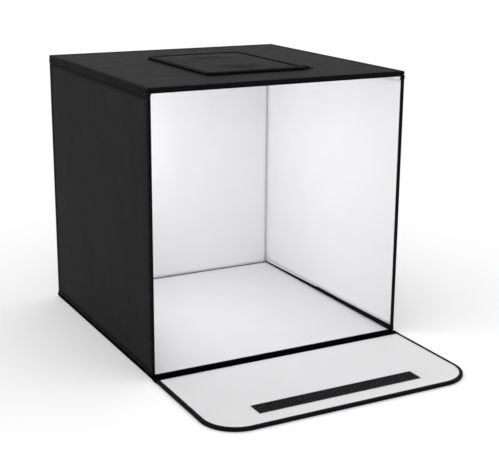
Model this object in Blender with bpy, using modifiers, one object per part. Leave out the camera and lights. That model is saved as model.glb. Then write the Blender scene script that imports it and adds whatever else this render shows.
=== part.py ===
"""Light tent cube: a tabletop shooting tent of bound fabric panels that folds flat.

The tent stands on the XY plane with +Z up and its open front towards -Y. The
origin is the middle of the floor panel's underside. Every length is in metres.

Each panel is a sandwich of an outer cover, a stiff board and a white lining,
held in a C-shaped edge binding. The floor, the two side walls and the top make
a sleeve. Each side wall is creased at half height, so the sleeve folds inwards
and the top comes straight down. The back wall turns down onto the floor, the
front flap turns up, and the cover of the top window opens to the right.
"""

import math
from collections import namedtuple

import bmesh
import bpy
import numpy as np
from mathutils import Matrix, Vector

# Overall sizes of the tent
CUBE_WIDTH = 0.400
CUBE_DEPTH = 0.400
CUBE_HEIGHT = 0.400
FLAP_REACH = 0.200
FLAP_CORNER_RADIUS = 0.050

# Layers of a panel, from the outer face inwards
COVER_THICKNESS = 0.0008
BOARD_THICKNESS = 0.0028
LINING_THICKNESS = 0.0008

# Clearances
LAYER_GAP = 0.0003
SEAM_GAP = 0.0003
FOLD_GAP = 0.0004
BACK_SIDE_GAP = 0.0006
CREASE_RISE = 0.0003
CUT_OVERRUN = 0.002

# Edge binding: widths on the outer face, on the lining side and at a hinge
BINDING_FLANGE = 0.008
BINDING_RETURN = 0.003
BINDING_EDGE = 0.002
BINDING_HEM = 0.0025
BINDING_WEB = 0.0015
BINDING_ROUND = 0.0018
FLOOR_FRONT_RETURN = 0.005
FLOOR_REVEAL = 0.0006

# Front flap
FLAP_AXIS_OFFSET = 0.0015
FLAP_SPINE_WIDTH = 0.014
FLAP_RETURN = 0.007
HOOK_STRIP_LENGTH = 0.250
HOOK_STRIP_WIDTH = 0.025
HOOK_STRIP_THICKNESS = 0.0008
HOOK_STRIP_MARGIN = 0.030
HOOK_STRIP_ROUND = 0.002

# Window in the top panel and its cover
WINDOW_WIDTH = 0.130
WINDOW_LENGTH = 0.184
WINDOW_SHIFT = 0.021
WINDOW_CORNER_RADIUS = 0.006
WINDOW_FLANGE = 0.005
LID_OVERLAP = 0.016
LID_FLANGE = 0.009
LID_WEB = 0.002
LID_CORNER_RADIUS = 0.010
LID_ROUND = 0.001
LID_LINING_THICKNESS = 0.0005
LID_SHELL_THICKNESS = 0.0012
LID_CROWN = 0.001
FASTENER_WIDTH = 0.008
FASTENER_THICKNESS = 0.0006
LID_HINGE_WIDTH = 0.014
LID_HINGE_EDGE = 0.0006
LID_AXIS_GAP = 0.0002

# Light bars under the top panel
BAR_SIDE_MARGIN = 0.030
BAR_WIDTH = 0.016
BAR_HEIGHT = 0.0065
BAR_WALL = 0.001
BAR_CLEARANCE = 0.001
FRONT_BAR_INSET = 0.058
REAR_BAR_INSET = 0.102
DIFFUSER_THICKNESS = 0.0014
DIFFUSER_ROUND = 0.0006
LIGHT_STRIP_THICKNESS = 0.001
LIGHT_STRIP_SIDE_GAP = 0.001
EMITTER_SIDE = 0.005
EMITTER_HEIGHT = 0.0012
EMITTER_PITCH = 0.020
EMITTER_SUNK = 0.0002
END_CAP_THICKNESS = 0.003
END_CAP_ROUND = 0.0008
SOCKET_LENGTH = 0.007
SOCKET_RADIUS = 0.0028
SOCKET_BORE_RADIUS = 0.0019
SOCKET_BORE_DEPTH = 0.006
SOCKET_PIN_RADIUS = 0.0006
SOCKET_PIN_LENGTH = 0.0045

# Gussets, the low fabric strips between the walls and the floor or the top
GUSSET_ROUND = 0.0012

# Counts
ROUND_SEGMENTS = 3
CORNER_SEGMENTS = 10
LID_CORNER_SEGMENTS = 5
CROWN_DIVISIONS = 12
SOCKET_SIDES = 24

# Worked out from the sizes above
PANEL = COVER_THICKNESS + BOARD_THICKNESS + LINING_THICKNESS + 2 * LAYER_GAP
BAR_LENGTH = CUBE_WIDTH - 2 * BAR_SIDE_MARGIN
FRONT_Y = -CUBE_DEPTH / 2
REAR_Y = CUBE_DEPTH / 2
SIDE_X = CUBE_WIDTH / 2
WALL_REAR_Y = REAR_Y - PANEL - SEAM_GAP
HINGE_X = SIDE_X - PANEL - FOLD_GAP
LOW_HINGE_Z = PANEL + FOLD_GAP + PANEL
GUSSET_DROP = BAR_HEIGHT + SEAM_GAP + BAR_CLEARANCE
HIGH_HINGE_Z = CUBE_HEIGHT - PANEL - GUSSET_DROP
CREASE_X = SIDE_X + CREASE_RISE
CREASE_Z = (LOW_HINGE_Z + HIGH_HINGE_Z) / 2
BACK_AXIS_Y = REAR_Y - PANEL - FOLD_GAP
BACK_HALF_WIDTH = SIDE_X - PANEL - BACK_SIDE_GAP
FLAP_AXIS_Y = FRONT_Y - FLAP_AXIS_OFFSET
FLAP_REAR_Y = FRONT_Y - FOLD_GAP
FLAP_FRONT_Y = FRONT_Y - FLAP_REACH
UNDERSIDE_Z = CUBE_HEIGHT - PANEL

LOOP_Z = CUBE_HEIGHT + LAYER_GAP
HOOK_Z = LOOP_Z + FASTENER_THICKNESS + LAYER_GAP
LID_LINING_Z = HOOK_Z + FASTENER_THICKNESS + LAYER_GAP
LID_SHELL_Z = LID_LINING_Z + LID_LINING_THICKNESS + LAYER_GAP
LID_TOP_Z = LID_SHELL_Z + LID_SHELL_THICKNESS
LID_AXIS_X = WINDOW_WIDTH / 2 + LID_OVERLAP + LID_AXIS_GAP

Box = namedtuple("Box", "low high")
Plate = namedtuple("Plate", "box corners radius segments")

AXIS_NAMES = "xyz"
NO_CORNERS = ()
ROUND_PROFILE_SHARE = 0.5
MOSTLY_UPRIGHT_SHARE = 0.5
CUBE_MIDDLE_SHARE = 0.5

COLOURS = {
    "black_fabric": ((0.035, 0.035, 0.038), 0.55, 0.0),
    "black_binding": ((0.016, 0.016, 0.017), 0.70, 0.0),
    "white_lining": ((0.82, 0.82, 0.83), 0.75, 0.0),
    "board": ((0.42, 0.36, 0.28), 0.90, 0.0),
    "hook_tape": ((0.028, 0.028, 0.030), 0.85, 0.0),
    "aluminium": ((0.62, 0.62, 0.64), 0.35, 1.0),
    "diffuser": ((0.88, 0.88, 0.86), 0.30, 0.0),
    "light_strip": ((0.80, 0.80, 0.78), 0.50, 0.0),
    "socket": ((0.020, 0.020, 0.022), 0.40, 0.0),
}


def clear_scene():
    """Remove every object and any collection that an earlier run left."""
    for item in list(bpy.data.objects):
        bpy.data.objects.remove(item, do_unlink=True)
    for group in list(bpy.data.collections):
        bpy.data.collections.remove(group)


def new_collection(name):
    """A new collection under the scene's own."""
    group = bpy.data.collections.new(name)
    bpy.context.scene.collection.children.link(group)
    return group


def new_material(name, colour, roughness, metallic):
    """A Principled material in one colour."""
    material = bpy.data.materials.new(name)
    material.use_nodes = True
    shader = material.node_tree.nodes["Principled BSDF"]
    shader.inputs["Base Color"].default_value = (*colour, 1.0)
    shader.inputs["Roughness"].default_value = roughness
    shader.inputs["Metallic"].default_value = metallic
    return material


clear_scene()
PARTS = new_collection("light_tent_cube")
CUTTERS = new_collection("light_tent_cube_cutters")
MATERIALS = {name: new_material(name, *look) for name, look in COLOURS.items()}


# Hinges


def new_hinge(name, place, parent=None):
    """An empty on a joint's axis, which the pieces that turn there hang from."""
    hinge = bpy.data.objects.new(name, None)
    hinge.empty_display_size = PANEL
    hinge.parent = parent
    hinge["place"] = list(place)
    before = parent["place"] if parent else (0, 0, 0)
    hinge.location = Vector(place) - Vector(before)
    PARTS.objects.link(hinge)
    return hinge


TENT = new_hinge("tent", (0, 0, 0))
LEFT_LOWER = new_hinge("left_lower_hinge", (-HINGE_X, 0, LOW_HINGE_Z), TENT)
LEFT_UPPER = new_hinge("left_crease", (-CREASE_X, 0, CREASE_Z), LEFT_LOWER)
TOP = new_hinge("top_hinge", (-HINGE_X, 0, HIGH_HINGE_Z), LEFT_UPPER)
RIGHT_LOWER = new_hinge("right_lower_hinge", (HINGE_X, 0, LOW_HINGE_Z), TENT)
RIGHT_UPPER = new_hinge("right_crease", (CREASE_X, 0, CREASE_Z), RIGHT_LOWER)
BACK = new_hinge("back_hinge", (0, BACK_AXIS_Y, PANEL), TENT)
FLAP = new_hinge("flap_hinge", (0, FLAP_AXIS_Y, PANEL), TENT)
WINDOW_LID = new_hinge("window_cover_hinge", (LID_AXIS_X, -WINDOW_SHIFT, LID_TOP_Z), TOP)


# Boxes


def box_of(x, y, z):
    """A box from its (low, high) pair along each axis."""
    low, high = zip(x, y, z)
    return Box(np.array(low, float), np.array(high, float))


def shrunk(box, amounts):
    """The box with each named side moved inwards by its own amount."""
    low, high = box.low.copy(), box.high.copy()
    for side, amount in amounts.items():
        axis = AXIS_NAMES.index(side[1])
        if side[0] == "-":
            low[axis] += amount
        else:
            high[axis] -= amount
    return Box(low, high)


def layer(box, face, start, end):
    """The slice of a box between two depths under its outer face."""
    low, high = box.low.copy(), box.high.copy()
    axis = AXIS_NAMES.index(face[1])
    if face[0] == "-":
        low[axis], high[axis] = box.low[axis] + start, box.low[axis] + end
    else:
        low[axis], high[axis] = box.high[axis] - end, box.high[axis] - start
    return Box(low, high)


def on_side(vertex, box, side):
    """Whether a vertex lies on the named side of the box."""
    axis = AXIS_NAMES.index(side[1])
    place = box.low[axis] if side[0] == "-" else box.high[axis]
    return math.isclose(vertex.co[axis], place, abs_tol=SEAM_GAP / 10)


def is_upright(edge, thickness_axis):
    """Whether an edge runs along the thickness of its plate."""
    run = edge.verts[1].co - edge.verts[0].co
    return abs(run.normalized()[thickness_axis]) > MOSTLY_UPRIGHT_SHARE


def plate_mesh(plate, face="+z", rounding=0.0, open_sides=()):
    """A box as a bmesh, with its listed corners and its outer edges rounded.

    Edges on an open side stay sharp, because the panel goes on there.
    """
    box = plate.box
    mesh = bmesh.new()
    bmesh.ops.create_cube(mesh, size=1)
    for vertex in mesh.verts:
        share = np.array(vertex.co) + CUBE_MIDDLE_SHARE
        vertex.co = Vector(box.low + share * (box.high - box.low))
    axis = AXIS_NAMES.index(face[1])
    if plate.corners and plate.radius > 0:
        uprights = [
            edge
            for edge in mesh.edges
            if is_upright(edge, axis)
            and any(all(on_side(edge.verts[0], box, s) for s in pair) for pair in plate.corners)
        ]
        bmesh.ops.bevel(
            mesh,
            geom=uprights,
            offset=plate.radius,
            segments=plate.segments,
            profile=ROUND_PROFILE_SHARE,
            affect="EDGES",
        )
    if rounding > 0:
        edges = [
            edge
            for edge in mesh.edges
            if not any(all(on_side(v, box, s) for v in edge.verts) for s in open_sides)
            and not (plate.corners and is_upright(edge, axis))
        ]
        bmesh.ops.bevel(
            mesh,
            geom=edges,
            offset=rounding,
            segments=ROUND_SEGMENTS,
            profile=ROUND_PROFILE_SHARE,
            affect="EDGES",
        )
    return mesh


def plain(box):
    """A plate with square corners."""
    return Plate(box, NO_CORNERS, 0.0, 0)


# Objects


def add_object(name, mesh, hinge, group, material=None):
    """Turn a bmesh in world places into an object whose origin is its hinge."""
    data = bpy.data.meshes.new(name)
    bmesh.ops.translate(mesh, verts=mesh.verts, vec=-Vector(hinge["place"]))
    if all(edge.is_manifold for edge in mesh.edges):
        bmesh.ops.recalc_face_normals(mesh, faces=mesh.faces)
    mesh.to_mesh(data)
    mesh.free()
    item = bpy.data.objects.new(name, data)
    item.parent = hinge
    group.objects.link(item)
    if material:
        data.materials.append(MATERIALS[material])
    return item


def add_piece(name, mesh, hinge, material, smooth=False):
    """A part of the tent."""
    piece = add_object(name, mesh, hinge, PARTS, material)
    if smooth:
        piece.data.shade_smooth()
        piece.data.set_sharp_from_angle(angle=math.radians(40))
    return piece


def add_cutter(name, mesh, hinge):
    """A helper that shapes a part and isn't one itself."""
    cutter = add_object(name, mesh, hinge, CUTTERS)
    cutter.hide_render = True
    cutter.display_type = "WIRE"
    return cutter


def combine(piece, helper, operation):
    """Cut the helper from the piece, or join it on."""
    modifier = piece.modifiers.new(helper.name, "BOOLEAN")
    modifier.operation = operation
    modifier.solver = "EXACT"
    modifier.object = helper
    return piece


def cut_plate(piece, name, plate, hinge, face="+z"):
    """Cut one plate-shaped hole or pocket."""
    return combine(piece, add_cutter(name, plate_mesh(plate, face), hinge), "DIFFERENCE")


def join_plate(piece, name, plate, hinge, face="+z"):
    """Join one plate on."""
    return combine(piece, add_cutter(name, plate_mesh(plate, face), hinge), "UNION")


# Panels


def add_panel(name, hinge, box, face, flanges, returns, corners=NO_CORNERS, radius=0.0):
    """Make one panel: cover, board, lining and the binding that holds them.

    The box is the panel's whole space and the face its outer side. The flanges
    and returns give the binding's width on the outer and the lining side, for
    each edge that is bound. An edge with no flange is open: the layers run to it.
    """
    thickness_axis = face[1]
    edges = [s + a for a in AXIS_NAMES if a != thickness_axis for s in "-+"]
    open_sides = [edge for edge in edges if edge not in flanges]
    lining_depth = PANEL - LINING_THICKNESS
    board_depth = COVER_THICKNESS + LAYER_GAP
    middle = PANEL / 2

    def plate(insets, start, end, overrun=0.0):
        insets = {**insets, **{side: -overrun for side in open_sides}}
        inset = max(insets.values())
        return Plate(
            layer(shrunk(box, insets), face, start, end),
            corners,
            max(radius - inset, 0.0),
            CORNER_SEGMENTS,
        )

    cover = plate({s: w + LAYER_GAP for s, w in flanges.items()}, 0.0, COVER_THICKNESS)
    board = plate(
        {s: BINDING_WEB + LAYER_GAP for s in flanges}, board_depth, board_depth + BOARD_THICKNESS
    )
    lining = plate({s: w + LAYER_GAP for s, w in returns.items()}, lining_depth, PANEL)
    pieces = {
        "cover": add_piece(f"{name}_cover", plate_mesh(cover, face), hinge, "black_fabric"),
        "board": add_piece(f"{name}_board", plate_mesh(board, face), hinge, "board"),
        "lining": add_piece(f"{name}_lining", plate_mesh(lining, face), hinge, "white_lining"),
    }

    whole = Plate(box, corners, radius, CORNER_SEGMENTS)
    frame = plate_mesh(whole, face, BINDING_ROUND, open_sides)
    binding = add_piece(f"{name}_binding", frame, hinge, "black_binding", smooth=True)
    outer = plate(flanges, -CUT_OVERRUN, middle, CUT_OVERRUN)
    inner = plate(returns, middle, PANEL + CUT_OVERRUN, CUT_OVERRUN)
    pocket = plate({s: BINDING_WEB for s in flanges}, COVER_THICKNESS, lining_depth, CUT_OVERRUN)
    cut_plate(binding, f"{name}_outer_window", outer, hinge, face)
    cut_plate(binding, f"{name}_inner_window", inner, hinge, face)
    cut_plate(binding, f"{name}_board_pocket", pocket, hinge, face)
    pieces["binding"] = binding
    return pieces


def add_floor():
    """The floor panel that the tent stands on, with the low gussets along its sides."""
    box = box_of((-SIDE_X, SIDE_X), (FRONT_Y, REAR_Y), (0, PANEL))
    sides = ("-x", "+x", "-y", "+y")
    flanges = {side: BINDING_FLANGE for side in sides}
    returns = {side: PANEL + FLOOR_REVEAL for side in sides}
    returns["-y"] = FLOOR_FRONT_RETURN
    add_panel("floor", TENT, box, "-z", flanges, returns)
    for side, sign in (("left", -1), ("right", 1)):
        add_gusset(f"floor_gusset_{side}", TENT, sign, PANEL + SEAM_GAP, LOW_HINGE_Z)


def add_gusset(name, hinge, sign, low, high):
    """A fabric strip as thick as the wall, between the wall and the panel next to it."""
    x = sorted((sign * SIDE_X, sign * (SIDE_X - PANEL)))
    box = box_of(x, (FRONT_Y, WALL_REAR_Y), (low, high))
    add_piece(name, plate_mesh(plain(box), "+z", GUSSET_ROUND), hinge, "black_binding", smooth=True)


def add_side_wall(side, sign, lower_hinge, upper_hinge):
    """One side wall, in two halves that meet at the crease."""
    face = "-x" if sign < 0 else "+x"
    x = sorted((sign * SIDE_X, sign * (SIDE_X - PANEL)))
    y = (FRONT_Y, WALL_REAR_Y)
    half_gap = SEAM_GAP / 2
    halves = (
        ("lower", lower_hinge, (LOW_HINGE_Z + SEAM_GAP, CREASE_Z - half_gap), "-z"),
        ("upper", upper_hinge, (CREASE_Z + half_gap, HIGH_HINGE_Z - SEAM_GAP), "+z"),
    )
    for half, hinge, z, hinge_side in halves:
        flanges = {"-y": BINDING_FLANGE, "+y": BINDING_FLANGE, hinge_side: BINDING_HEM}
        returns = {"-y": BINDING_RETURN, "+y": BINDING_EDGE, hinge_side: BINDING_HEM}
        add_panel(f"{side}_{half}", hinge, box_of(x, y, z), face, flanges, returns)


def add_back_wall():
    """The back wall, which turns forwards onto the floor between the side walls."""
    box = box_of(
        (-BACK_HALF_WIDTH, BACK_HALF_WIDTH),
        (REAR_Y - PANEL, REAR_Y),
        (PANEL + FOLD_GAP, UNDERSIDE_Z - FOLD_GAP),
    )
    sides = ("-x", "+x", "-z", "+z")
    flanges = {side: BINDING_FLANGE for side in sides}
    returns = {side: BINDING_EDGE for side in sides}
    add_panel("back", BACK, box, "+y", flanges, returns)


# Top panel

ALL_CORNERS = (("-x", "-y"), ("-x", "+y"), ("+x", "-y"), ("+x", "+y"))
LEFT_CORNERS = (("-x", "-y"), ("-x", "+y"))


def window_plate(offset, z, radius=WINDOW_CORNER_RADIUS, corners=ALL_CORNERS, right=None):
    """A plate that follows the window's outline, larger by the offset on each side."""
    x_high = WINDOW_WIDTH / 2 + (offset if right is None else right)
    x = (-WINDOW_WIDTH / 2 - offset, x_high)
    y = (-WINDOW_SHIFT - WINDOW_LENGTH / 2 - offset, -WINDOW_SHIFT + WINDOW_LENGTH / 2 + offset)
    return Plate(box_of(x, y, z), corners, radius, LID_CORNER_SEGMENTS)


def add_top():
    """The top panel, its gussets and the bound window in it."""
    box = box_of((-SIDE_X, SIDE_X), (FRONT_Y, BACK_AXIS_Y), (UNDERSIDE_Z, CUBE_HEIGHT))
    sides = ("-x", "+x", "-y", "+y")
    flanges = {side: BINDING_FLANGE for side in sides}
    returns = {side: BINDING_RETURN for side in sides}
    pieces = add_panel("top", TOP, box, "+z", flanges, returns)
    for side, sign in (("left", -1), ("right", 1)):
        add_gusset(f"top_gusset_{side}", TOP, sign, HIGH_HINGE_Z, UNDERSIDE_Z - SEAM_GAP)

    through = (UNDERSIDE_Z - CUT_OVERRUN, CUBE_HEIGHT + CUT_OVERRUN)
    offsets = {"cover": WINDOW_FLANGE, "board": BINDING_WEB, "lining": BINDING_RETURN}
    for part, offset in offsets.items():
        hole = window_plate(offset + LAYER_GAP, through)
        cut_plate(pieces[part], f"window_hole_in_{part}", hole, TOP)

    web = window_plate(BINDING_WEB, (UNDERSIDE_Z, CUBE_HEIGHT))
    binding = add_piece("window_binding", plate_mesh(web), TOP, "black_binding", smooth=True)
    upper = window_plate(WINDOW_FLANGE, (CUBE_HEIGHT - COVER_THICKNESS, CUBE_HEIGHT))
    lower = window_plate(BINDING_RETURN, (UNDERSIDE_Z, UNDERSIDE_Z + LINING_THICKNESS))
    join_plate(binding, "window_binding_flange", upper, TOP)
    join_plate(binding, "window_binding_return", lower, TOP)
    cut_plate(binding, "window_hole_in_binding", window_plate(0.0, through), TOP)


def add_fastener(name, hinge, low, material):
    """A U of fastener tape round the left, front and rear of the window."""
    outer_offset = LID_OVERLAP - LID_WEB - LAYER_GAP
    inner_offset = outer_offset - FASTENER_WIDTH
    z = (low, low + FASTENER_THICKNESS)
    through = (low - CUT_OVERRUN, low + FASTENER_THICKNESS + CUT_OVERRUN)
    outer_radius = LID_CORNER_RADIUS - LID_WEB - LAYER_GAP
    outer = window_plate(outer_offset, z, outer_radius, LEFT_CORNERS, right=0.0)
    inner = window_plate(inner_offset, through, 0.0, NO_CORNERS, right=CUT_OVERRUN)
    tape = add_piece(name, plate_mesh(outer), hinge, material)
    cut_plate(tape, f"{name}_inside", inner, hinge)


def crowned_sheet(x, y, base, rise):
    """A sheet that rises to a soft crown in its middle and lies flat at its edges."""
    mesh = bmesh.new()
    bmesh.ops.create_grid(mesh, x_segments=CROWN_DIVISIONS, y_segments=CROWN_DIVISIONS, size=1)
    for vertex in mesh.verts:
        across, along = vertex.co.x, vertex.co.y
        bow = (1 - across**2) * (1 - along**2)
        vertex.co = Vector(
            (
                (x[0] + x[1]) / 2 + across * (x[1] - x[0]) / 2,
                (y[0] + y[1]) / 2 + along * (y[1] - y[0]) / 2,
                base + rise * bow,
            )
        )
    return mesh


def add_window_cover():
    """The padded cover over the window: binding, shell, lining and its hook tape."""
    skirt_z = CUBE_HEIGHT + FOLD_GAP
    whole = window_plate(LID_OVERLAP, (skirt_z, LID_TOP_Z), LID_CORNER_RADIUS)
    binding = add_piece(
        "window_cover_binding",
        plate_mesh(whole, "+z", LID_ROUND),
        WINDOW_LID,
        "black_binding",
        smooth=True,
    )
    inside = LID_OVERLAP - LID_WEB
    pocket = window_plate(inside, (skirt_z - CUT_OVERRUN, LID_SHELL_Z), LID_CORNER_RADIUS - LID_WEB)
    cut_plate(binding, "window_cover_pocket", pocket, WINDOW_LID)
    opening_offset = LID_OVERLAP - LID_FLANGE
    opening = window_plate(
        opening_offset, (skirt_z, LID_TOP_Z + CUT_OVERRUN), LID_CORNER_RADIUS - LID_FLANGE
    )
    cut_plate(binding, "window_cover_opening", opening, WINDOW_LID)

    lining = window_plate(
        inside - LAYER_GAP,
        (LID_LINING_Z, LID_LINING_Z + LID_LINING_THICKNESS),
        LID_CORNER_RADIUS - LID_WEB - LAYER_GAP,
    )
    add_piece("window_cover_lining", plate_mesh(lining), WINDOW_LID, "white_lining")

    edge = window_plate(opening_offset - LAYER_GAP, (LID_SHELL_Z, LID_TOP_Z)).box
    sheet = crowned_sheet(
        (edge.low[0], edge.high[0]), (edge.low[1], edge.high[1]), LID_SHELL_Z, LID_CROWN
    )
    shell = add_piece("window_cover_shell", sheet, WINDOW_LID, "black_fabric", smooth=True)
    solid = shell.modifiers.new("thickness", "SOLIDIFY")
    solid.thickness = LID_SHELL_THICKNESS
    solid.offset = 1
    add_fastener("window_cover_hook_tape", WINDOW_LID, HOOK_Z, "hook_tape")
    add_fastener("window_loop_tape", TOP, LOOP_Z, "hook_tape")


def add_window_hinge():
    """The fabric strip that carries the cover's right edge, thinning out onto the top."""
    left = LID_AXIS_X + SEAM_GAP
    right = left + LID_HINGE_WIDTH
    high = LID_TOP_Z - FOLD_GAP
    low = LOOP_Z
    outline = (
        (left, low),
        (right, low),
        (right, low + LID_HINGE_EDGE),
        (left + LID_OVERLAP / 4, (low + high) / 2),
        (left + FOLD_GAP, high),
        (left, high),
    )
    y = window_plate(LID_OVERLAP - LID_CORNER_RADIUS, (0, 0)).box
    mesh = bmesh.new()
    ring = [mesh.verts.new((x, y.low[1], z)) for x, z in outline]
    profile = mesh.faces.new(ring)
    spun = bmesh.ops.extrude_face_region(mesh, geom=[profile])
    moved = [item for item in spun["geom"] if isinstance(item, bmesh.types.BMVert)]
    bmesh.ops.translate(mesh, verts=moved, vec=(0, y.high[1] - y.low[1], 0))
    add_piece("window_hinge_strip", mesh, TOP, "black_fabric")


# Light bars


def cylinder_mesh(radius, x_low, x_high, y, z):
    """A cylinder along X."""
    mesh = bmesh.new()
    middle = Matrix.Translation(((x_low + x_high) / 2, y, z))
    bmesh.ops.create_cone(
        mesh,
        cap_ends=True,
        segments=SOCKET_SIDES,
        radius1=radius,
        radius2=radius,
        depth=x_high - x_low,
        matrix=middle @ Matrix.Rotation(math.pi / 2, 4, "Y"),
    )
    return mesh


def add_light_bar(name, y):
    """One light bar: channel, strip of emitters, diffuser, end cap and power inlet."""
    high = UNDERSIDE_Z - SEAM_GAP
    low = high - BAR_HEIGHT
    half_length = BAR_LENGTH / 2
    half_width = BAR_WIDTH / 2
    x = (-half_length, half_length)
    channel_box = box_of(x, (y - half_width, y + half_width), (low, high))
    channel = add_piece(f"{name}_channel", plate_mesh(plain(channel_box)), TOP, "aluminium")
    groove = shrunk(
        channel_box,
        {
            "-x": -CUT_OVERRUN,
            "+x": -CUT_OVERRUN,
            "-y": BAR_WALL,
            "+y": BAR_WALL,
            "-z": -CUT_OVERRUN,
            "+z": BAR_WALL,
        },
    )
    cut_plate(channel, f"{name}_groove", plain(groove), TOP)

    strip_high = high - BAR_WALL - LAYER_GAP
    strip_low = strip_high - LIGHT_STRIP_THICKNESS
    strip_half = half_width - BAR_WALL - LIGHT_STRIP_SIDE_GAP
    strip_x = (x[0] + LAYER_GAP, x[1] - LAYER_GAP)
    strip_box = box_of(strip_x, (y - strip_half, y + strip_half), (strip_low, strip_high))
    strip = add_piece(f"{name}_light_strip", plate_mesh(plain(strip_box)), TOP, "light_strip")
    count = int((BAR_LENGTH - 2 * EMITTER_PITCH / 2) / EMITTER_PITCH)
    first = -(count - 1) * EMITTER_PITCH / 2
    emitter_box = box_of(
        (first - EMITTER_SIDE / 2, first + EMITTER_SIDE / 2),
        (y - EMITTER_SIDE / 2, y + EMITTER_SIDE / 2),
        (strip_low + EMITTER_SUNK - EMITTER_HEIGHT, strip_low + EMITTER_SUNK),
    )
    emitters = add_cutter(f"{name}_emitters", plate_mesh(plain(emitter_box)), TOP)
    row = emitters.modifiers.new("row", "ARRAY")
    row.count = count
    row.use_relative_offset = False
    row.use_constant_offset = True
    row.constant_offset_displace = (EMITTER_PITCH, 0, 0)
    combine(strip, emitters, "UNION")

    diffuser_box = box_of(
        strip_x,
        (y - half_width + BAR_WALL + LAYER_GAP, y + half_width - BAR_WALL - LAYER_GAP),
        (low, low + DIFFUSER_THICKNESS),
    )
    add_piece(
        f"{name}_diffuser",
        plate_mesh(plain(diffuser_box), "+z", DIFFUSER_ROUND),
        TOP,
        "diffuser",
        smooth=True,
    )
    for end, sign in (("inlet", -1), ("end_cap", 1)):
        near = sign * (half_length + LAYER_GAP)
        far = near + sign * END_CAP_THICKNESS
        cap_box = Box(
            np.array((min(near, far), channel_box.low[1], low)),
            np.array((max(near, far), channel_box.high[1], high)),
        )
        cap = plate_mesh(plain(cap_box), "+z", END_CAP_ROUND)
        piece = add_piece(f"{name}_{end}", cap, TOP, "socket", smooth=True)
        if end == "inlet":
            shape_inlet(name, piece, far, y, (low + high) / 2)


def shape_inlet(name, cap, outer_x, y, z):
    """Give an end cap its round power socket, with a bore and a centre pin."""
    mouth = outer_x - SOCKET_LENGTH
    barrel = cylinder_mesh(SOCKET_RADIUS, mouth, outer_x + END_CAP_THICKNESS / 2, y, z)
    bore = cylinder_mesh(SOCKET_BORE_RADIUS, mouth - CUT_OVERRUN, mouth + SOCKET_BORE_DEPTH, y, z)
    pin_end = mouth + SOCKET_BORE_DEPTH
    pin = cylinder_mesh(SOCKET_PIN_RADIUS, pin_end - SOCKET_PIN_LENGTH, pin_end + EMITTER_SUNK, y, z)
    combine(cap, add_cutter(f"{name}_barrel", barrel, TOP), "UNION")
    combine(cap, add_cutter(f"{name}_bore", bore, TOP), "DIFFERENCE")
    combine(cap, add_cutter(f"{name}_pin", pin, TOP), "UNION")


# Front flap


def add_flap():
    """The front flap, which lies on the ground before the tent and turns up."""
    spine_front = FLAP_REAR_Y - FLAP_SPINE_WIDTH
    spine = box_of((-SIDE_X, SIDE_X), (spine_front, FLAP_REAR_Y), (0, PANEL))
    add_piece(
        "flap_spine", plate_mesh(plain(spine), "+z", BINDING_ROUND), FLAP, "black_fabric", smooth=True
    )
    box = box_of((-SIDE_X, SIDE_X), (FLAP_FRONT_Y, spine_front - SEAM_GAP), (0, PANEL))
    sides = ("-x", "+x", "-y")
    flanges = {side: BINDING_FLANGE for side in sides}
    returns = {side: FLAP_RETURN for side in sides}
    corners = (("-x", "-y"), ("+x", "-y"))
    add_panel("flap", FLAP, box, "-z", flanges, returns, corners, FLAP_CORNER_RADIUS)
    strip_front = FLAP_FRONT_Y + HOOK_STRIP_MARGIN
    strip = box_of(
        (-HOOK_STRIP_LENGTH / 2, HOOK_STRIP_LENGTH / 2),
        (strip_front, strip_front + HOOK_STRIP_WIDTH),
        (PANEL + LAYER_GAP, PANEL + LAYER_GAP + HOOK_STRIP_THICKNESS),
    )
    rounded = Plate(strip, ALL_CORNERS, HOOK_STRIP_ROUND, ROUND_SEGMENTS)
    add_piece("flap_hook_strip", plate_mesh(rounded), FLAP, "hook_tape")


def main():
    """Build the whole tent."""
    add_floor()
    add_side_wall("left", -1, LEFT_LOWER, LEFT_UPPER)
    add_side_wall("right", 1, RIGHT_LOWER, RIGHT_UPPER)
    add_back_wall()
    add_top()
    add_window_cover()
    add_window_hinge()
    add_light_bar("front_bar", FRONT_Y + FRONT_BAR_INSET)
    add_light_bar("rear_bar", REAR_Y - REAR_BAR_INSET)
    add_flap()


main()
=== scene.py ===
"""Looks of a light tent cube: cloth, tape, stitching, padding and light bars.

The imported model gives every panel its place. Each class below dresses one part
of the tent with surfaces worked out on grids of points, in metres, with +Z up
and the open front towards -Y.
"""

import logging
import math
from dataclasses import dataclass, field
from enum import Enum

import bpy
import numpy as np
from mathutils import Matrix, Vector


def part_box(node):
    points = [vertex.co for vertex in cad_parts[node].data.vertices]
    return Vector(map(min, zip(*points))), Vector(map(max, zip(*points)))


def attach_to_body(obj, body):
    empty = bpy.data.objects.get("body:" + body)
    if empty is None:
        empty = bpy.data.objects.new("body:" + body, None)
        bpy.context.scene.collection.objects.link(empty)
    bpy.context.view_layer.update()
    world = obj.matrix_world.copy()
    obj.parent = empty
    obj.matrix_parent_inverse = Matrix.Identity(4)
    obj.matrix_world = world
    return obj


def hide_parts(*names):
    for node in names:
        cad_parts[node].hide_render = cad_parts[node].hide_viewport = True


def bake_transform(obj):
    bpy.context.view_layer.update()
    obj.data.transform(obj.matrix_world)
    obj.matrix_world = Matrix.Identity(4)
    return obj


LOG = logging.getLogger("light_tent_cube")
Array = np.ndarray
Point = tuple[float, float, float]
Pair = tuple[float, float]
Socket = bpy.types.NodeSocket
Material = bpy.types.Material
Piece = bpy.types.Object

IMAGE_WIDTH = 499
UP = np.array((0.0, 0.0, 1.0))
FLUTTER = 0.00014
# Flat parts' share of the attribute that lightens the tape: partly rubbing, partly painted
# highlight.
PLAIN_WEAR_AND_HIGHLIGHT = 0.2

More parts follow.
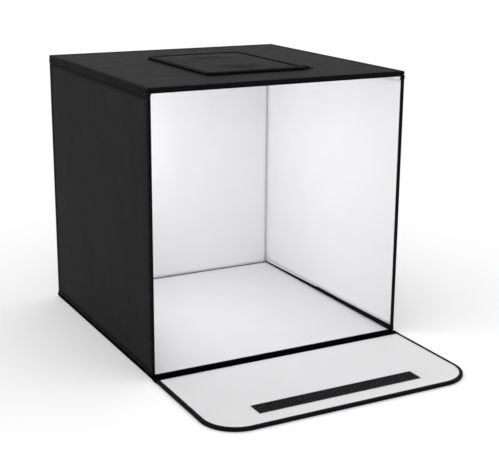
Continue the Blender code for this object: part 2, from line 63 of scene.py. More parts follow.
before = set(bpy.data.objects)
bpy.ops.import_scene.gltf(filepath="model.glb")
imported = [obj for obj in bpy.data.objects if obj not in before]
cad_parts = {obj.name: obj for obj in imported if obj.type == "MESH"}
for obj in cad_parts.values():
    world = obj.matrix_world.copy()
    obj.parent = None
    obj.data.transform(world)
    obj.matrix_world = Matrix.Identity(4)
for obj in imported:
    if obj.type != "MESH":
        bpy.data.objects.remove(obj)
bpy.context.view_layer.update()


class Side(Enum):
    """A side wall, by the sign of its X."""

    LEFT = -1
    RIGHT = 1

    @property
    def word(self) -> str:
        """The side's name in lower case."""
        return self.name.lower()


class Slot(Enum):
    """The record's material slots."""

    OUTER = "outer_fabric"
    BINDING = "edge_binding"
    LINING = "white_lining"
    HOOK = "hook_tape"


class Opening(Enum):
    """The side of an outline that is left open."""

    FRONT = 0
    RIGHT = 1
    REAR = 2
    LEFT = 3


# Node materials


class Shading:
    """One node material in the making, with short ways to add and link nodes."""

    def __init__(self, name: str) -> None:
        """Start a material of this name with the plain shader."""
        self.material = bpy.data.materials.new(name)
        self.material.use_nodes = True
        self.tree = self.material.node_tree
        self.shader = self.tree.nodes["Principled BSDF"]
        self._object = self.put("ShaderNodeTexCoord").outputs["Object"]

    def put(self, kind: str, inputs: dict | None = None, **settings: object) -> bpy.types.Node:
        """Add a node.

        Args:
            kind: The node's type name.
            inputs: Values or sockets by input name or number.
            settings: The node's own properties.

        Returns:
            The new node.
        """
        node = self.tree.nodes.new(kind)
        for key, value in settings.items():
            setattr(node, key, value)
        for key, value in (inputs or {}).items():
            self.feed(node.inputs[key], value)
        return node

    def feed(self, socket: Socket, value: object) -> None:
        """Link a socket to another, or set its own value."""
        if isinstance(value, Socket):
            self.tree.links.new(value, socket)
        else:
            socket.default_value = value

    def math(self, operation: str, *values: object, clamp: bool = False) -> Socket:
        """A Math node's result from up to three values or sockets."""
        node = self.put("ShaderNodeMath", dict(enumerate(values)), operation=operation)
        node.use_clamp = clamp
        return node.outputs[0]

    def noise(self, scale: float | Point, detail: float, rough: float = 0.5) -> Socket:
        """Noise on the piece's place.

        Args:
            scale: Cycles per metre, in one number or one for each axis.
            detail: Octaves.
            rough: How strong the finer octaves are.

        Returns:
            The noise's value socket, about 0.5 on average.
        """
        vector, pitch = self._object, scale
        if isinstance(scale, tuple):
            mapping = self.put("ShaderNodeMapping", {"Vector": self._object, "Scale": scale})
            vector, pitch = mapping.outputs["Vector"], 1.0
        settings = {"Vector": vector, "Scale": pitch, "Detail": detail, "Roughness": rough}
        return self.put("ShaderNodeTexNoise", settings).outputs["Fac"]

    def place(self) -> tuple[Socket, ...]:
        """The X, Y and Z of the point, in metres."""
        return tuple(self.put("ShaderNodeSeparateXYZ", {0: self._object}).outputs)

    def cloth(self) -> tuple[Socket, Socket]:
        """The two lengths along the cloth, in metres, from its own UV map."""
        uv = self.put("ShaderNodeUVMap", uv_map="cloth").outputs["UV"]
        split = self.put("ShaderNodeSeparateXYZ", {0: uv})
        return split.outputs[0], split.outputs[1]

    def attribute(self, name: str) -> Socket:
        """A point attribute's number."""
        return self.put("ShaderNodeAttribute", attribute_name=name).outputs["Fac"]

    def ripple(self, along: Socket, pitch: float) -> Socket:
        """Round ribs of one pitch: the size of the sine of the length along them."""
        turn = self.math("MULTIPLY", along, math.pi / pitch)
        return self.math("ABSOLUTE", self.math("SINE", turn))

    def weave(self, pitch: float) -> Socket:
        """A plain weave: by turns the warp's and the weft's round thread lies on top."""
        u, v = self.cloth()
        a, b = self.ripple(u, pitch), self.ripple(v, pitch)
        signs = [self.math("SINE", self.math("MULTIPLY", w, math.pi / pitch)) for w in (u, v)]
        over = self.math("MULTIPLY_ADD", self.math("MULTIPLY", *signs), 4.0, 0.5, clamp=True)
        warp = self.math("MULTIPLY", a, self.math("POWER", b, 0.35))
        weft = self.math("MULTIPLY", b, self.math("POWER", a, 0.35))
        return self.between(over, warp, weft)

    def between(self, share: object, low: object, high: object) -> Socket:
        """A number that runs from low to high with the share."""
        inputs = {0: share, 2: low, 3: high}
        return self.put("ShaderNodeMix", inputs, data_type="FLOAT").outputs[0]

    def colours(self, share: object, low: object, high: object) -> Socket:
        """A colour that runs from low to high with the share."""
        low, high = ((*c, 1.0) if isinstance(c, tuple) else c for c in (low, high))
        inputs = {0: share, 6: low, 7: high}
        return self.put("ShaderNodeMix", inputs, data_type="RGBA").outputs[2]

    def finish(
        self,
        colour: Socket,
        rough: Socket | float,
        relief: Socket,
        depth: float,
        strength: float,
        **own: object,
    ) -> Material:
        """Wire the shader.

        Args:
            colour: Base colour socket.
            rough: Roughness socket or number.
            relief: Height socket for the bump.
            depth: Height of the bump in metres.
            strength: Share of the bump that shows.
            own: Other shader sockets, with _ for a space, set on the sockets themselves.

        Returns:
            The finished material.
        """
        self.feed(self.shader.inputs["Base Color"], colour)
        self.feed(self.shader.inputs["Roughness"], rough)
        for key, value in own.items():
            self.shader.inputs[key.replace("_", " ")].default_value = value
        bump = {"Height": relief, "Distance": depth, "Strength": strength}
        self.feed(self.shader.inputs["Normal"], self.put("ShaderNodeBump", bump).outputs[0])
        return self.material


@dataclass(frozen=True)
class OuterCloth:
    """Black coated polyester with a fine plain weave and a broad, soft sheen."""

    name: str = "black_outer_cloth"
    dark: Point = (0.0095, 0.0095, 0.0098)
    light: Point = (0.0215, 0.0215, 0.0220)
    # Painted shade between the threads: the weave's low places take this darker colour.
    gap: Point = (0.003, 0.003, 0.0033)
    lint: Point = (0.16, 0.16, 0.17)
    # Lighter colour where the cloth is rubbed and where a highlight is painted.
    worn_and_lit: Point = (0.045, 0.045, 0.047)
    pitch: float = 0.00055
    rough: float = 0.58
    shine: float = 0.03
    relief: float = 0.00010

    def build(self) -> Material:
        """The cloth's node material."""
        s = Shading(self.name)
        weave, broad, cloud = s.weave(self.pitch), s.noise(7.0, 3.0), s.noise(45.0, 3.0)
        share = s.math("MULTIPLY_ADD", broad, 0.9, -0.25)
        share = s.math("ADD", share, s.math("MULTIPLY", cloud, 0.35), clamp=True)
        colour = s.colours(share, self.dark, self.light)
        # Painted shade: the colour darkens towards gap where the weave sinks between threads.
        thread = s.math("MULTIPLY", s.math("SUBTRACT", 1.0, weave), 0.35)
        colour = s.colours(thread, colour, self.gap)
        speck = s.math("GREATER_THAN", s.noise(1400.0, 1.0), 0.765)
        colour = s.colours(s.math("MULTIPLY", speck, 0.35), colour, self.lint)
        # Partly rubbing and partly painted highlight: lighter where the attribute is high.
        colour = s.colours(s.math("MULTIPLY", s.attribute("wear_and_highlight"), cloud), colour, self.worn_and_lit)
        rough = s.math("MULTIPLY_ADD", cloud, 0.16, self.rough - 0.08)
        height = s.math("MULTIPLY_ADD", cloud, 0.5, weave)
        sheen = {"Sheen_Weight": 0.002, "Sheen_Roughness": 0.4, "Specular_IOR_Level": self.shine}
        return s.finish(colour, rough, height, self.relief, 0.55, **sheen)


@dataclass(frozen=True)
class Grosgrain:
    """Ribbed edge tape: cross ribs and fine lengthwise yarns, with painted shade in the grooves,
    painted light on the rib tops and painted glints as pale flecks on the ribs.
    """

    name: str = "black_grosgrain_tape"
    # Colours of the painted shade in the grooves, the painted light on the rib tops and the painted
    # glints.
    shaded_groove: Point = (0.0015, 0.0015, 0.0016)
    rib: Point = (0.0034, 0.0034, 0.0036)
    painted_glint: Point = (0.130, 0.130, 0.134)
    pitch: float = 0.00085
    yarn: float = 0.00034
    rough: float = 0.62
    shine: float = 0.04
    relief: float = 0.00016

    def build(self) -> Material:
        """The tape's node material."""
        s = Shading(self.name)
        u, v = s.cloth()
        ribs, yarns = s.ripple(u, self.pitch), s.ripple(v, self.yarn)
        cloud, grain = s.noise(60.0, 3.0), s.noise(700.0, 2.0, 0.7)
        # Painted shade and light: the grooves take the darker colour and the rib tops the lighter
        # one.
        share = s.math("MULTIPLY", ribs, s.math("MULTIPLY_ADD", cloud, 0.8, 0.5), clamp=True)
        colour = s.colours(share, self.shaded_groove, self.rib)
        # Painted glints: pale flecks on the rib tops.
        bright = s.math("MULTIPLY_ADD", grain, 5.0, -2.75, clamp=True)
        bright = s.math("MULTIPLY", bright, ribs)
        # The attribute is highest along the folds. It strengthens the glints there into a painted
        # highlight line, partly standing for rubbing.
        edge = s.math("MULTIPLY_ADD", s.attribute("wear_and_highlight"), 0.9, -0.12, clamp=True)
        colour = s.colours(s.math("MULTIPLY", bright, edge), colour, self.painted_glint)
        height = s.math("ADD", ribs, s.math("MULTIPLY", yarns, 0.35))
        height = s.math("MULTIPLY_ADD", grain, 0.3, height)
        rough = s.math("MULTIPLY_ADD", cloud, 0.2, self.rough - 0.1)
        shine = {"Sheen_Weight": 0.001, "Specular_IOR_Level": self.shine}
        return s.finish(colour, rough, height, self.relief, 0.7, **shine)


@dataclass(frozen=True)
class LiningCloth:
    """White reflective lining: a tight weave over board, faintly clouded and dimpled."""

    name: str = "white_lining_cloth"
    shade: Point = (0.742, 0.742, 0.750)
    bright: Point = (0.802, 0.802, 0.807)
    # Painted shade between the threads: the weave's low places take this darker colour.
    gap: Point = (0.60, 0.60, 0.62)
    pitch: float = 0.00042
    rough: float = 0.58
    relief: float = 0.00007

    def build(self) -> Material:
        """The lining's node material."""
        s = Shading(self.name)
        weave, cloud, patch = s.weave(self.pitch), s.noise(22.0, 3.0, 0.55), s.noise(5.0, 2.0)
        share = s.math("MULTIPLY_ADD", cloud, 0.9, 0.05)
        share = s.math("MULTIPLY_ADD", patch, 0.5, s.math("SUBTRACT", share, 0.25), clamp=True)
        colour = s.colours(share, self.shade, self.bright)
        # Painted shade: the colour darkens towards gap where the weave sinks between threads.
        between = s.math("MULTIPLY", s.math("SUBTRACT", 1.0, weave), 0.10)
        colour = s.colours(between, colour, self.gap)
        rough = s.math("MULTIPLY_ADD", cloud, 0.14, self.rough - 0.07)
        height = s.math("MULTIPLY_ADD", cloud, 1.6, weave)
        sheen = {"Sheen_Weight": 0.02, "Sheen_Roughness": 0.4}
        return s.finish(colour, rough, height, self.relief, 0.4, **sheen)


@dataclass(frozen=True)
class FastenerTape:
    """Hook or loop tape: staggered rows of short black tufts, lit in clumps, on a woven ground."""

    name: str = "black_fastener_tape"
    ground: Point = (0.002, 0.002, 0.0022)
    tuft: Point = (0.006, 0.006, 0.0063)
    lit: Point = (0.062, 0.062, 0.0645)
    across: float = 0.0013
    along: float = 0.0017
    relief: float = 0.00035

    def build(self) -> Material:
        """The tape's node material."""
        s = Shading(self.name)
        u, v = s.cloth()
        row = s.math("FLOOR", s.math("DIVIDE", v, self.across))
        shift = s.math("MULTIPLY", row, self.along / 2)
        rows, cols = s.ripple(v, self.across), s.ripple(s.math("ADD", u, shift), self.along)
        grain = s.noise(1100.0, 2.0, 0.7)
        tufts = s.math("MULTIPLY", s.math("POWER", rows, 1.5), s.math("POWER", cols, 1.5))
        share = s.math("MULTIPLY", tufts, s.math("MULTIPLY_ADD", grain, 2.2, -0.35), clamp=True)
        colour = s.colours(share, self.ground, self.tuft)
        clump = s.math("MULTIPLY_ADD", s.noise(340.0, 1.0), 6.0, -3.0, clamp=True)
        clump = s.math("MULTIPLY", clump, s.math("MULTIPLY_ADD", tufts, 0.7, 0.3))
        colour = s.colours(clump, colour, self.lit)
        height = s.math("MULTIPLY_ADD", grain, 0.5, tufts)
        return s.finish(colour, 0.72, height, self.relief, 0.8, Specular_IOR_Level=0.05)


@dataclass(frozen=True)
class SewingThread:
    """Twisted black polyester thread."""

    name: str = "black_thread"
    dark: Point = (0.012, 0.012, 0.012)
    light: Point = (0.07, 0.07, 0.07)

    def build(self) -> Material:
        """The thread's node material."""
        s = Shading(self.name)
        twist = s.noise(2600.0, 1.0)
        return s.finish(s.colours(twist, self.dark, self.light), 0.48, twist, 0.00005, 0.5)


@dataclass(frozen=True)
class FibreBoard:
    """Brown pressed fibre board, speckled with short fibres."""

    name: str = "pressed_fibre_board"
    dark: Point = (0.16, 0.105, 0.06)
    light: Point = (0.36, 0.26, 0.165)

    def build(self) -> Material:
        """The board's node material."""
        s = Shading(self.name)
        fibre, cloud = s.noise((240.0, 900.0, 900.0), 3.0, 0.7), s.noise(30.0, 3.0)
        share = s.math("MULTIPLY_ADD", cloud, 0.6, -0.5)
        share = s.math("MULTIPLY_ADD", fibre, 1.4, share, clamp=True)
        return s.finish(s.colours(share, self.dark, self.light), 0.85, fibre, 0.0001, 0.6)


@dataclass(frozen=True)
class DrawnAluminium:
    """Drawn channel: fine lines along X, with faint dull patches."""

    name: str = "drawn_aluminium"
    dark: Point = (0.50, 0.51, 0.53)
    light: Point = (0.72, 0.73, 0.75)

    def build(self) -> Material:
        """The metal's node material."""
        s = Shading(self.name)
        lines, cloud = s.noise((6.0, 2600.0, 2600.0), 3.0, 0.6), s.noise(80.0, 2.0)
        rough = s.math("MULTIPLY_ADD", lines, 0.25, s.math("MULTIPLY", cloud, 0.25))
        colour = s.colours(lines, self.dark, self.light)
        return s.finish(colour, rough, lines, 0.00003, 0.4, Metallic=1.0)


@dataclass(frozen=True)
class FrostedCover:
    """Frosted diffuser strip, a little milky, with the extrusion's faint lines."""

    name: str = "frosted_diffuser"
    colour: Point = (0.86, 0.865, 0.87)
    hazy: Point = (0.78, 0.785, 0.80)

    def build(self) -> Material:
        """The diffuser's node material."""
        s = Shading(self.name)
        lines, haze = s.noise((5.0, 1500.0, 1500.0), 2.0), s.noise(120.0, 2.0)
        colour = s.colours(s.math("MULTIPLY", haze, 0.5), self.colour, self.hazy)
        rough = s.math("MULTIPLY_ADD", haze, 0.2, 0.28)
        milky = {"Subsurface_Weight": 0.15, "Subsurface_Radius": (0.002,) * 3}
        return s.finish(colour, rough, lines, 0.00003, 0.3, **milky)


@dataclass(frozen=True)
class EmitterStrip:
    """White circuit strip with square yellow emitters and copper pads between them."""

    name: str
    middle_y: float
    pitch: float = 0.020
    half: float = 0.0025
    pad_half: float = 0.0012
    shade: Point = (0.80, 0.80, 0.78)
    bright: Point = (0.88, 0.88, 0.86)
    copper: Point = (0.55, 0.32, 0.14)
    housing: Point = (0.72, 0.72, 0.70)
    yellow: Point = (0.80, 0.62, 0.12)

    def build(self) -> Material:
        """The strip's node material."""
        s = Shading(self.name)
        x, y, _ = s.place()
        cell = s.math("FRACT", s.math("MULTIPLY_ADD", x, 1 / self.pitch, 50.5))
        near_x = s.math("ABSOLUTE", s.math("SUBTRACT", cell, 0.5))
        near_x = s.math("MULTIPLY", near_x, self.pitch)
        near_y = s.math("ABSOLUTE", s.math("SUBTRACT", y, self.middle_y))
        square = s.math("MAXIMUM", near_x, near_y)
        emitter = s.math("LESS_THAN", square, self.half)
        lens = s.math("LESS_THAN", square, self.half * 0.72)
        from_pad = s.math("ABSOLUTE", s.math("SUBTRACT", near_x, self.pitch / 2))
        pad = s.math("LESS_THAN", from_pad, self.pad_half)
        pad = s.math("MULTIPLY", pad, s.math("GREATER_THAN", near_y, self.half))
        haze = s.noise(300.0, 2.0)
        colour = s.colours(haze, self.shade, self.bright)
        colour = s.colours(pad, colour, self.copper)
        colour = s.colours(emitter, colour, self.housing)
        colour = s.colours(lens, colour, self.yellow)
        return s.finish(colour, s.math("MULTIPLY_ADD", haze, 0.2, 0.3), haze, 0.00003, 0.3)


@dataclass(frozen=True)
class MouldedPlastic:
    """Black moulded plastic with a fine, even grain."""

    name: str = "black_moulded_plastic"
    dark: Point = (0.012, 0.012, 0.013)
    light: Point = (0.026, 0.026, 0.028)

    def build(self) -> Material:
        """The plastic's node material."""
        s = Shading(self.name)
        grain, cloud = s.noise(2400.0, 2.0), s.noise(90.0, 2.0)
        colour = s.colours(cloud, self.dark, self.light)
        return s.finish(colour, s.math("MULTIPLY_ADD", cloud, 0.15, 0.36), grain, 0.00005, 0.5)


class Finishes:
    """Every finish of the tent, each built once."""

    def __init__(self) -> None:
        """Build the finishes."""
        self.cloth = OuterCloth().build()
        self.tape = Grosgrain().build()
        # Painted shade: a darker copy of the same grosgrain, without shine, for the floor's edge
        # and the flap's spine, which lie low in shade.
        self.seam_tape = Grosgrain(
            name="shaded_black_seam_tape",
            shaded_groove=(0.0005, 0.0005, 0.0005),
            rib=(0.0012, 0.0012, 0.0013),
            shine=0.0,
        ).build()
        self.lining = LiningCloth().build()
        self.fastener = FastenerTape().build()
        self.thread = SewingThread().build()
        self.board = FibreBoard().build()
        self.metal = DrawnAluminium().build()
        self.diffuser = FrostedCover().build()
        self.plastic = MouldedPlastic().build()


# Shapes


def smooth(share: Array) -> Array:
    """Smoothstep: three times the share's square less twice its cube, kept in 0 to 1."""
    share = np.clip(share, 0.0, 1.0)
    return share * share * (3 - 2 * share)


def joined(x: Array | float, y: Array | float, z: Array | float) -> Array:
    """Points from their X, Y and Z, each stretched to the shape of the widest."""
    return np.stack(np.broadcast_arrays(x, y, z), -1)


def rounded_section(count: int, power: float, half: Array | Pair) -> tuple[Array, Array]:
    """A closed section between an ellipse and a box.

    Both parts of a turning unit vector are raised to the power, keep their signs, and
    are scaled to the half sizes.

    Args:
        count: Number of points.
        power: From 1 for an ellipse down towards 0 for a box.
        half: Half the section's width and height.

    Returns:
        The section's points and the unit vector at each.
    """
    angle = np.linspace(0, 2 * math.pi, count, endpoint=False)
    turn = np.stack([np.cos(angle), np.sin(angle)], 1)
    return np.sign(turn) * np.abs(turn) ** power * half, turn


def stations(
    low: float, high: float, step: float, fine: float | None = None, reach: float = 0.004
) -> Array:
    """Places from low to high at about one step, with close rows round a crease.

    Args:
        low: First place.
        high: Last place.
        step: Largest spacing.
        fine: The crease's place, or None.
        reach: Half the height of the close rows.

    Returns:
        The sorted places.
    """
    count = max(int(math.ceil((high - low) / step)), 1) + 1
    places = np.linspace(low, high, count)
    if fine is None:
        return places
    places = places[np.abs(places - fine) > reach + step / 4]
    return np.sort(np.concatenate([places, np.linspace(fine - reach, fine + reach, 17)]))


@dataclass(frozen=True)
class Facing:
    """A panel's own directions: two in its plane, and one that leaves its outer face.

    Without other values they are the floor's, whose outer face is its underside.
    """

    origin: Point = (0, 0, 0)
    along: Point = (1, 0, 0)
    up: Point = (0, 1, 0)
    out: Point = (0, 0, -1)

    @classmethod
    def skyward(cls, height: float) -> "Facing":
        """The directions of a level panel whose outer face looks up at this height."""
        return cls(origin=(0, 0, height), out=(0, 0, 1))

    def place(self, p: Array, q: Array, h: Array | float) -> Array:
        """Points in the row frame: origin plus p along, q up and h out."""
        p, q, h = np.broadcast_arrays(p, q, h)
        parts = ((p, self.along), (q, self.up), (h, self.out))
        return np.array(self.origin) + sum(v[..., None] * np.array(d) for v, d in parts)


@dataclass(frozen=True)
class Outline:
    """A rounded rectangle round a panel, all of it or with one side left open."""

    low: Pair
    high: Pair
    radius: float
    counts: tuple[int, int, int] = (80, 80, 6)
    opening: Opening | None = None

    def at(self, inset: float) -> Array:
        """The outline moved inwards by the inset, always with the same number of points.

        Args:
            inset: How far inwards, less than zero for outwards. An open side stays.

        Returns:
            An array of p and q pairs.
        """
        kept = self.opening.value if self.opening else -1
        shift = np.array([0.0 if side == kept else inset for side in range(4)])
        (x0, y0), (x1, y1) = self.low, self.high
        y0, x1, y1, x0 = y0 + shift[0], x1 - shift[1], y1 - shift[2], x0 + shift[3]
        round_off = max(self.radius - inset, 0.00005)
        square = (kept, (kept - 1) % 4) if self.opening else ()
        radii = [0.0 if side in square else round_off for side in range(4)]
        corners = np.array([(x1, y0), (x1, y1), (x0, y1), (x0, y0)])
        inward = np.array([(-1, 1), (-1, -1), (1, -1), (1, 1)])
        run = np.array([(1, 0), (0, 1), (-1, 0), (0, -1)])
        pieces = []
        order = [(kept + 1 + i) % 4 for i in range(3)] if kept >= 0 else range(4)
        for side in order:
            before = (side - 1) % 4
            start = corners[before] + run[side] * radii[before]
            end = corners[side] - run[side] * radii[side]
            share = np.linspace(0, 1, self.counts[side % 2], endpoint=False)[:, None]
            pieces.append(start + share * (end - start))
            if kept >= 0 and side == order[-1]:
                pieces.append(end[None])
                continue
            centre = corners[side] + inward[side] * radii[side]
            angles = math.pi / 2 * (side - 1 + np.linspace(0, 1, self.counts[2], endpoint=False))
            pieces.append(centre + radii[side] * np.stack([np.cos(angles), np.sin(angles)], 1))
        return np.concatenate(pieces)

    def seam(self, inset: float) -> Array:
        """The moved outline with its first point again at the end, unless a side is open."""
        line = self.at(inset)
        return line if self.opening else np.concatenate([line, line[:1]])


@dataclass(frozen=True)
class Relief:
    """How a cloth lies over its board: sunk at its seams, puckered there, and waved."""

    low: Pair
    high: Pair
    seed: int
    sink: float = 0.00035
    reach: float = 0.016
    wave: float = 0.00010
    pucker: float = 0.00010
    sewn: str = "left right front rear"

    def at(self, p: Array, q: Array) -> Array:
        """Height over the cloth's resting level.

        It is the sink times a smooth step of the distance from the nearest sewn edge,
        less the sink, plus six sine waves in random directions, plus sines along the
        edge that die out inwards.
        """
        rng = np.random.default_rng(self.seed)
        (left, front), (right, rear) = self.low, self.high
        gaps = {"left": p - left, "right": right - p, "front": q - front, "rear": rear - q}
        left, right, front, rear = (
            gap if edge in self.sewn else gap * 0 + 1.0 for edge, gap in gaps.items()
        )
        across, beyond = np.minimum(left, right), np.minimum(front, rear)
        edge = np.clip(np.minimum(across, beyond), 0, None)
        risen = smooth(edge / self.reach)
        waves = np.zeros(np.shape(edge))
        for _ in range(6):
            turn, length = rng.uniform(0, math.pi), rng.uniform(0.05, 0.17)
            phase = rng.uniform(0, 2 * math.pi)
            way = p * math.cos(turn) + q * math.sin(turn)
            waves += np.sin(2 * math.pi * way / length + phase) / 6
        along = np.where(across < beyond, q, p)
        first, second = rng.uniform(0.008, 0.011), rng.uniform(0.014, 0.019)
        turns = 2 * math.pi * along
        ripple = np.sin(turns / first + 9 * waves) + np.sin(turns / second)
        fade = np.exp(-edge / 0.006) * smooth(edge / 0.002)
        height = self.sink * (risen - 1) + 2 * self.wave * waves * risen
        return height + self.pucker * ripple * fade / 2


def shrunk(low: Pair, high: Pair, inset: float) -> tuple[Pair, Pair]:
    """A rectangle's low and high corner, both moved inwards."""
    return tuple(x + inset for x in low), tuple(x - inset for x in high)


def rim_distance(p: Array, q: Array, low: Pair | Vector, high: Pair | Vector) -> Array:
    """Distance of each place in a rectangle from its nearest side."""
    across = np.minimum(p - low[0], high[0] - p)
    return np.minimum(across, np.minimum(q - low[1], high[1] - q))


def rounded(p: Array, q: Array, low: Pair, high: Pair, radius: float) -> tuple[Array, Array]:
    """Pull a grid's square corners in to round ones.

    Past a corner circle's centre in both directions, a point moves along its line
    from that centre until its distance is the larger of its two offsets.
    """
    near_p = np.clip(p, low[0] + radius, high[0] - radius)
    near_q = np.clip(q, low[1] + radius, high[1] - radius)
    dp, dq = p - near_p, q - near_q
    reach = np.maximum(np.abs(dp), np.abs(dq)) / np.maximum(np.hypot(dp, dq), 1e-9)
    return near_p + dp * reach, near_q + dq * reach


def outward(points: Array, faces: Array) -> Array:
    """The faces turned so that a closed shape's volume is above zero."""
    a, b, c, d = (points[faces[:, i]] for i in range(4))
    centre = points.mean(0)
    normals = np.cross(b - a, c - a) + np.cross(c - a, d - a)
    volume = np.einsum("ij,ij->i", normals, a - centre).sum()
    return faces if volume > 0 else faces[:, ::-1]


def make_object(
    name: str,
    points: Array,
    faces: list,
    uv: Array | None,
    material: Material,
    wear_and_highlight: Array | None = None,
) -> Piece:
    """Put points and faces into a new smooth-shaded mesh object at the origin.

    Args:
        name: The piece's name.
        points: One row for each vertex.
        faces: Vertex numbers of each face.
        uv: Lengths along the cloth for each face corner in turn, or None.
        material: The finish.
        wear_and_highlight: Rubbing and painted highlight of each vertex, from 0 to 1, or None.

    Returns:
        The object.
    """
    mesh = bpy.data.meshes.new(name)
    mesh.from_pydata(points.reshape(-1, 3).tolist(), [], faces)
    if uv is not None:
        mesh.uv_layers.new(name="cloth").data.foreach_set("uv", uv.astype(np.float32).ravel())
    attribute = mesh.attributes.new("wear_and_highlight", "FLOAT", "POINT")
    worn_and_lit = np.zeros(len(mesh.vertices)) if wear_and_highlight is None else wear_and_highlight.ravel()
    attribute.data.foreach_set("value", worn_and_lit.astype(np.float32))
    mesh.shade_smooth()
    mesh.materials.append(material)
    mesh.validate()
    piece = bpy.data.objects.new(name, mesh)
    bpy.context.scene.collection.objects.link(piece)
    LOG.info("%s: %d faces", name, len(mesh.polygons))
    return piece


def lengths(points: Array) -> Array:
    """Length from the first point to each point of a line."""
    steps = np.linalg.norm(np.diff(points, axis=0), axis=1)
    return np.concatenate([[0.0], np.cumsum(steps)])


def grid_faces(rows: int, cols: int, wrap_rows: bool, wrap_cols: bool) -> tuple[Array, Array]:
    """Quads of a grid, and the grid place of each corner before it wraps round."""
    down = np.arange(rows if wrap_rows else rows - 1)
    across = np.arange(cols if wrap_cols else cols - 1)
    r, c = (grid.ravel() for grid in np.meshgrid(down, across, indexing="ij"))
    steps = ((0, 0), (0, 1), (1, 1), (1, 0))
    corners = np.stack([np.stack([r + i, c + j], 1) for i, j in steps], 1)
    numbers = (corners[..., 0] % rows) * cols + corners[..., 1] % cols
    return numbers, corners


def band_object(
    name: str,
    points: Array,
    material: Material,
    wear_and_highlight: Array | None = None,
    closed: bool = False,
) -> Piece:
    """A closed profile carried along a path.

    Args:
        name: The piece's name.
        points: Profile points by path points by 3.
        material: The finish.
        wear_and_highlight: Rubbing and painted highlight of each profile point.
        closed: Whether the path comes back to its start. If not, both ends get a cap.

    Returns:
        The object. Its cloth map holds the length along the path and round the profile.
    """
    rows, cols = points.shape[:2]
    flat = points.reshape(-1, 3)
    numbers, corners = grid_faces(rows, cols, True, closed)
    along = lengths(np.concatenate([points[0], points[:1, 0]]))
    around = lengths(np.concatenate([points[:, 0], points[:1, 0]]))
    turned = outward(flat, numbers)
    if turned is not numbers:
        corners = corners[:, ::-1]
    uv = np.stack([along[corners[..., 1]], around[corners[..., 0]]], -1).reshape(-1, 2)
    faces = turned.tolist()
    if not closed:
        start = np.arange(rows) * cols
        end = (start + cols - 1).tolist()
        start = start.tolist()
        caps = [start, end[::-1]] if turned is numbers else [start[::-1], end]
        for cap in caps:
            faces.append(cap)
            spread = np.stack([flat[cap] @ (0.7, 0.7, 0.0), flat[cap] @ (0.0, 0.3, 1.0)], 1)
            uv = np.concatenate([uv, spread])
    worn_and_lit = None if wear_and_highlight is None else np.repeat(wear_and_highlight[:, None], cols, 1)
    return make_object(name, flat, faces, uv, material, worn_and_lit)


def sheet_object(
    name: str,
    points: Array,
    uv: Array,
    out: Array,
    thickness: float,
    material: Material,
    wrap: bool = False,
) -> Piece:
    """A cloth from a grid of points on its shown face, thickened behind that face.

    Args:
        name: The piece's name.
        points: Rows by columns by 3.
        uv: Rows by columns by 2, in metres.
        out: Direction of the shown face.
        thickness: The cloth's thickness.
        material: The finish.
        wrap: Whether the columns come back to the first one.

    Returns:
        The object.
    """
    rows, cols = points.shape[:2]
    numbers, corners = grid_faces(rows, cols, False, wrap)
    flat = points.reshape(-1, 3)
    a, b, d = flat[numbers[:, 0]], flat[numbers[:, 1]], flat[numbers[:, 3]]
    if np.cross(b - a, d - a).sum(0) @ out < 0:
        numbers, corners = numbers[:, ::-1], corners[:, ::-1]
    spread = uv[corners[..., 0] % rows, corners[..., 1] % cols].reshape(-1, 2)
    piece = make_object(name, flat, numbers.tolist(), spread, material)
    solid = piece.modifiers.new("thickness", "SOLIDIFY")
    solid.thickness, solid.offset = thickness, -1.0
    return piece


def folded(inset: Array, height: Array, quarter: Array, worn_and_lit: float) -> Array:
    """Rows of a tape's quarter fold, with rubbing and painted highlight at their most in the middle
    of the quarter.
    """
    return np.stack([inset, height, 0 * quarter, np.sin(2 * quarter) * worn_and_lit + PLAIN_WEAR_AND_HIGHLIGHT], 1)


def c_profile(
    outer: float,
    inner: float,
    depth: float,
    cloth: float = 0.0005,
    corner: float = 0.0016,
    fold: float | None = None,
) -> Array:
    """The section of a tape folded over an edge.

    It starts at the outer flange's free edge, runs over the flange, round a quarter
    circle, down the web, round the second quarter and along the inner flange, and
    comes back one cloth thickness inside. Flanges and web are slightly domed.

    Args:
        outer: Width of the flange on the outer face.
        inner: Width of the flange on the lining side.
        depth: Thickness of the panel.
        cloth: Thickness of the tape.
        corner: Radius of the fold on the outer face.
        fold: Radius of the fold on the lining side, or None for one that fits the inner flange.

    Returns:
        Rows of inset, height, flutter, and rubbing with painted highlight.
    """
    inner_corner = fold or min(corner, max(inner * 0.6, 0.0006))
    sunk, dome = 0.0001, 0.00012
    t = np.linspace(0, 1, 5)[1:, None]
    wear_and_highlight = PLAIN_WEAR_AND_HIGHLIGHT + 0 * t
    quarter = np.linspace(0, math.pi / 2, 6)[1:]
    off = 1 - np.sin(quarter)
    domed = dome * np.sin(math.pi * t)
    flange = np.hstack([outer + (corner - outer) * t, domed - sunk, 1 - t, wear_and_highlight])
    first = folded(corner * off, corner * (np.cos(quarter) - 1) - sunk, quarter, 0.8)
    web = np.hstack([-domed, -corner + (corner + inner_corner - depth) * t, 0 * t, wear_and_highlight])
    lower = -depth + inner_corner * off
    second = folded(inner_corner * (1 - np.cos(quarter)), lower, quarter, 0.5)
    tail = np.hstack([inner_corner + (inner - inner_corner) * t, -depth - 0 * t, t, wear_and_highlight])
    back = np.array(
        [
            (inner, -depth + cloth, 1, 0),
            (inner_corner, -depth + cloth, 0, 0),
            (cloth, -depth + inner_corner, 0, 0),
            (cloth, -corner, 0, 0),
            (corner, -cloth - sunk, 0, 0),
            (outer, -cloth - sunk, 1, 0),
        ]
    )
    start = np.array([(outer, -2 * sunk, 1, 0.3)])
    return np.concatenate([start, flange, first, web, second, tail, back])


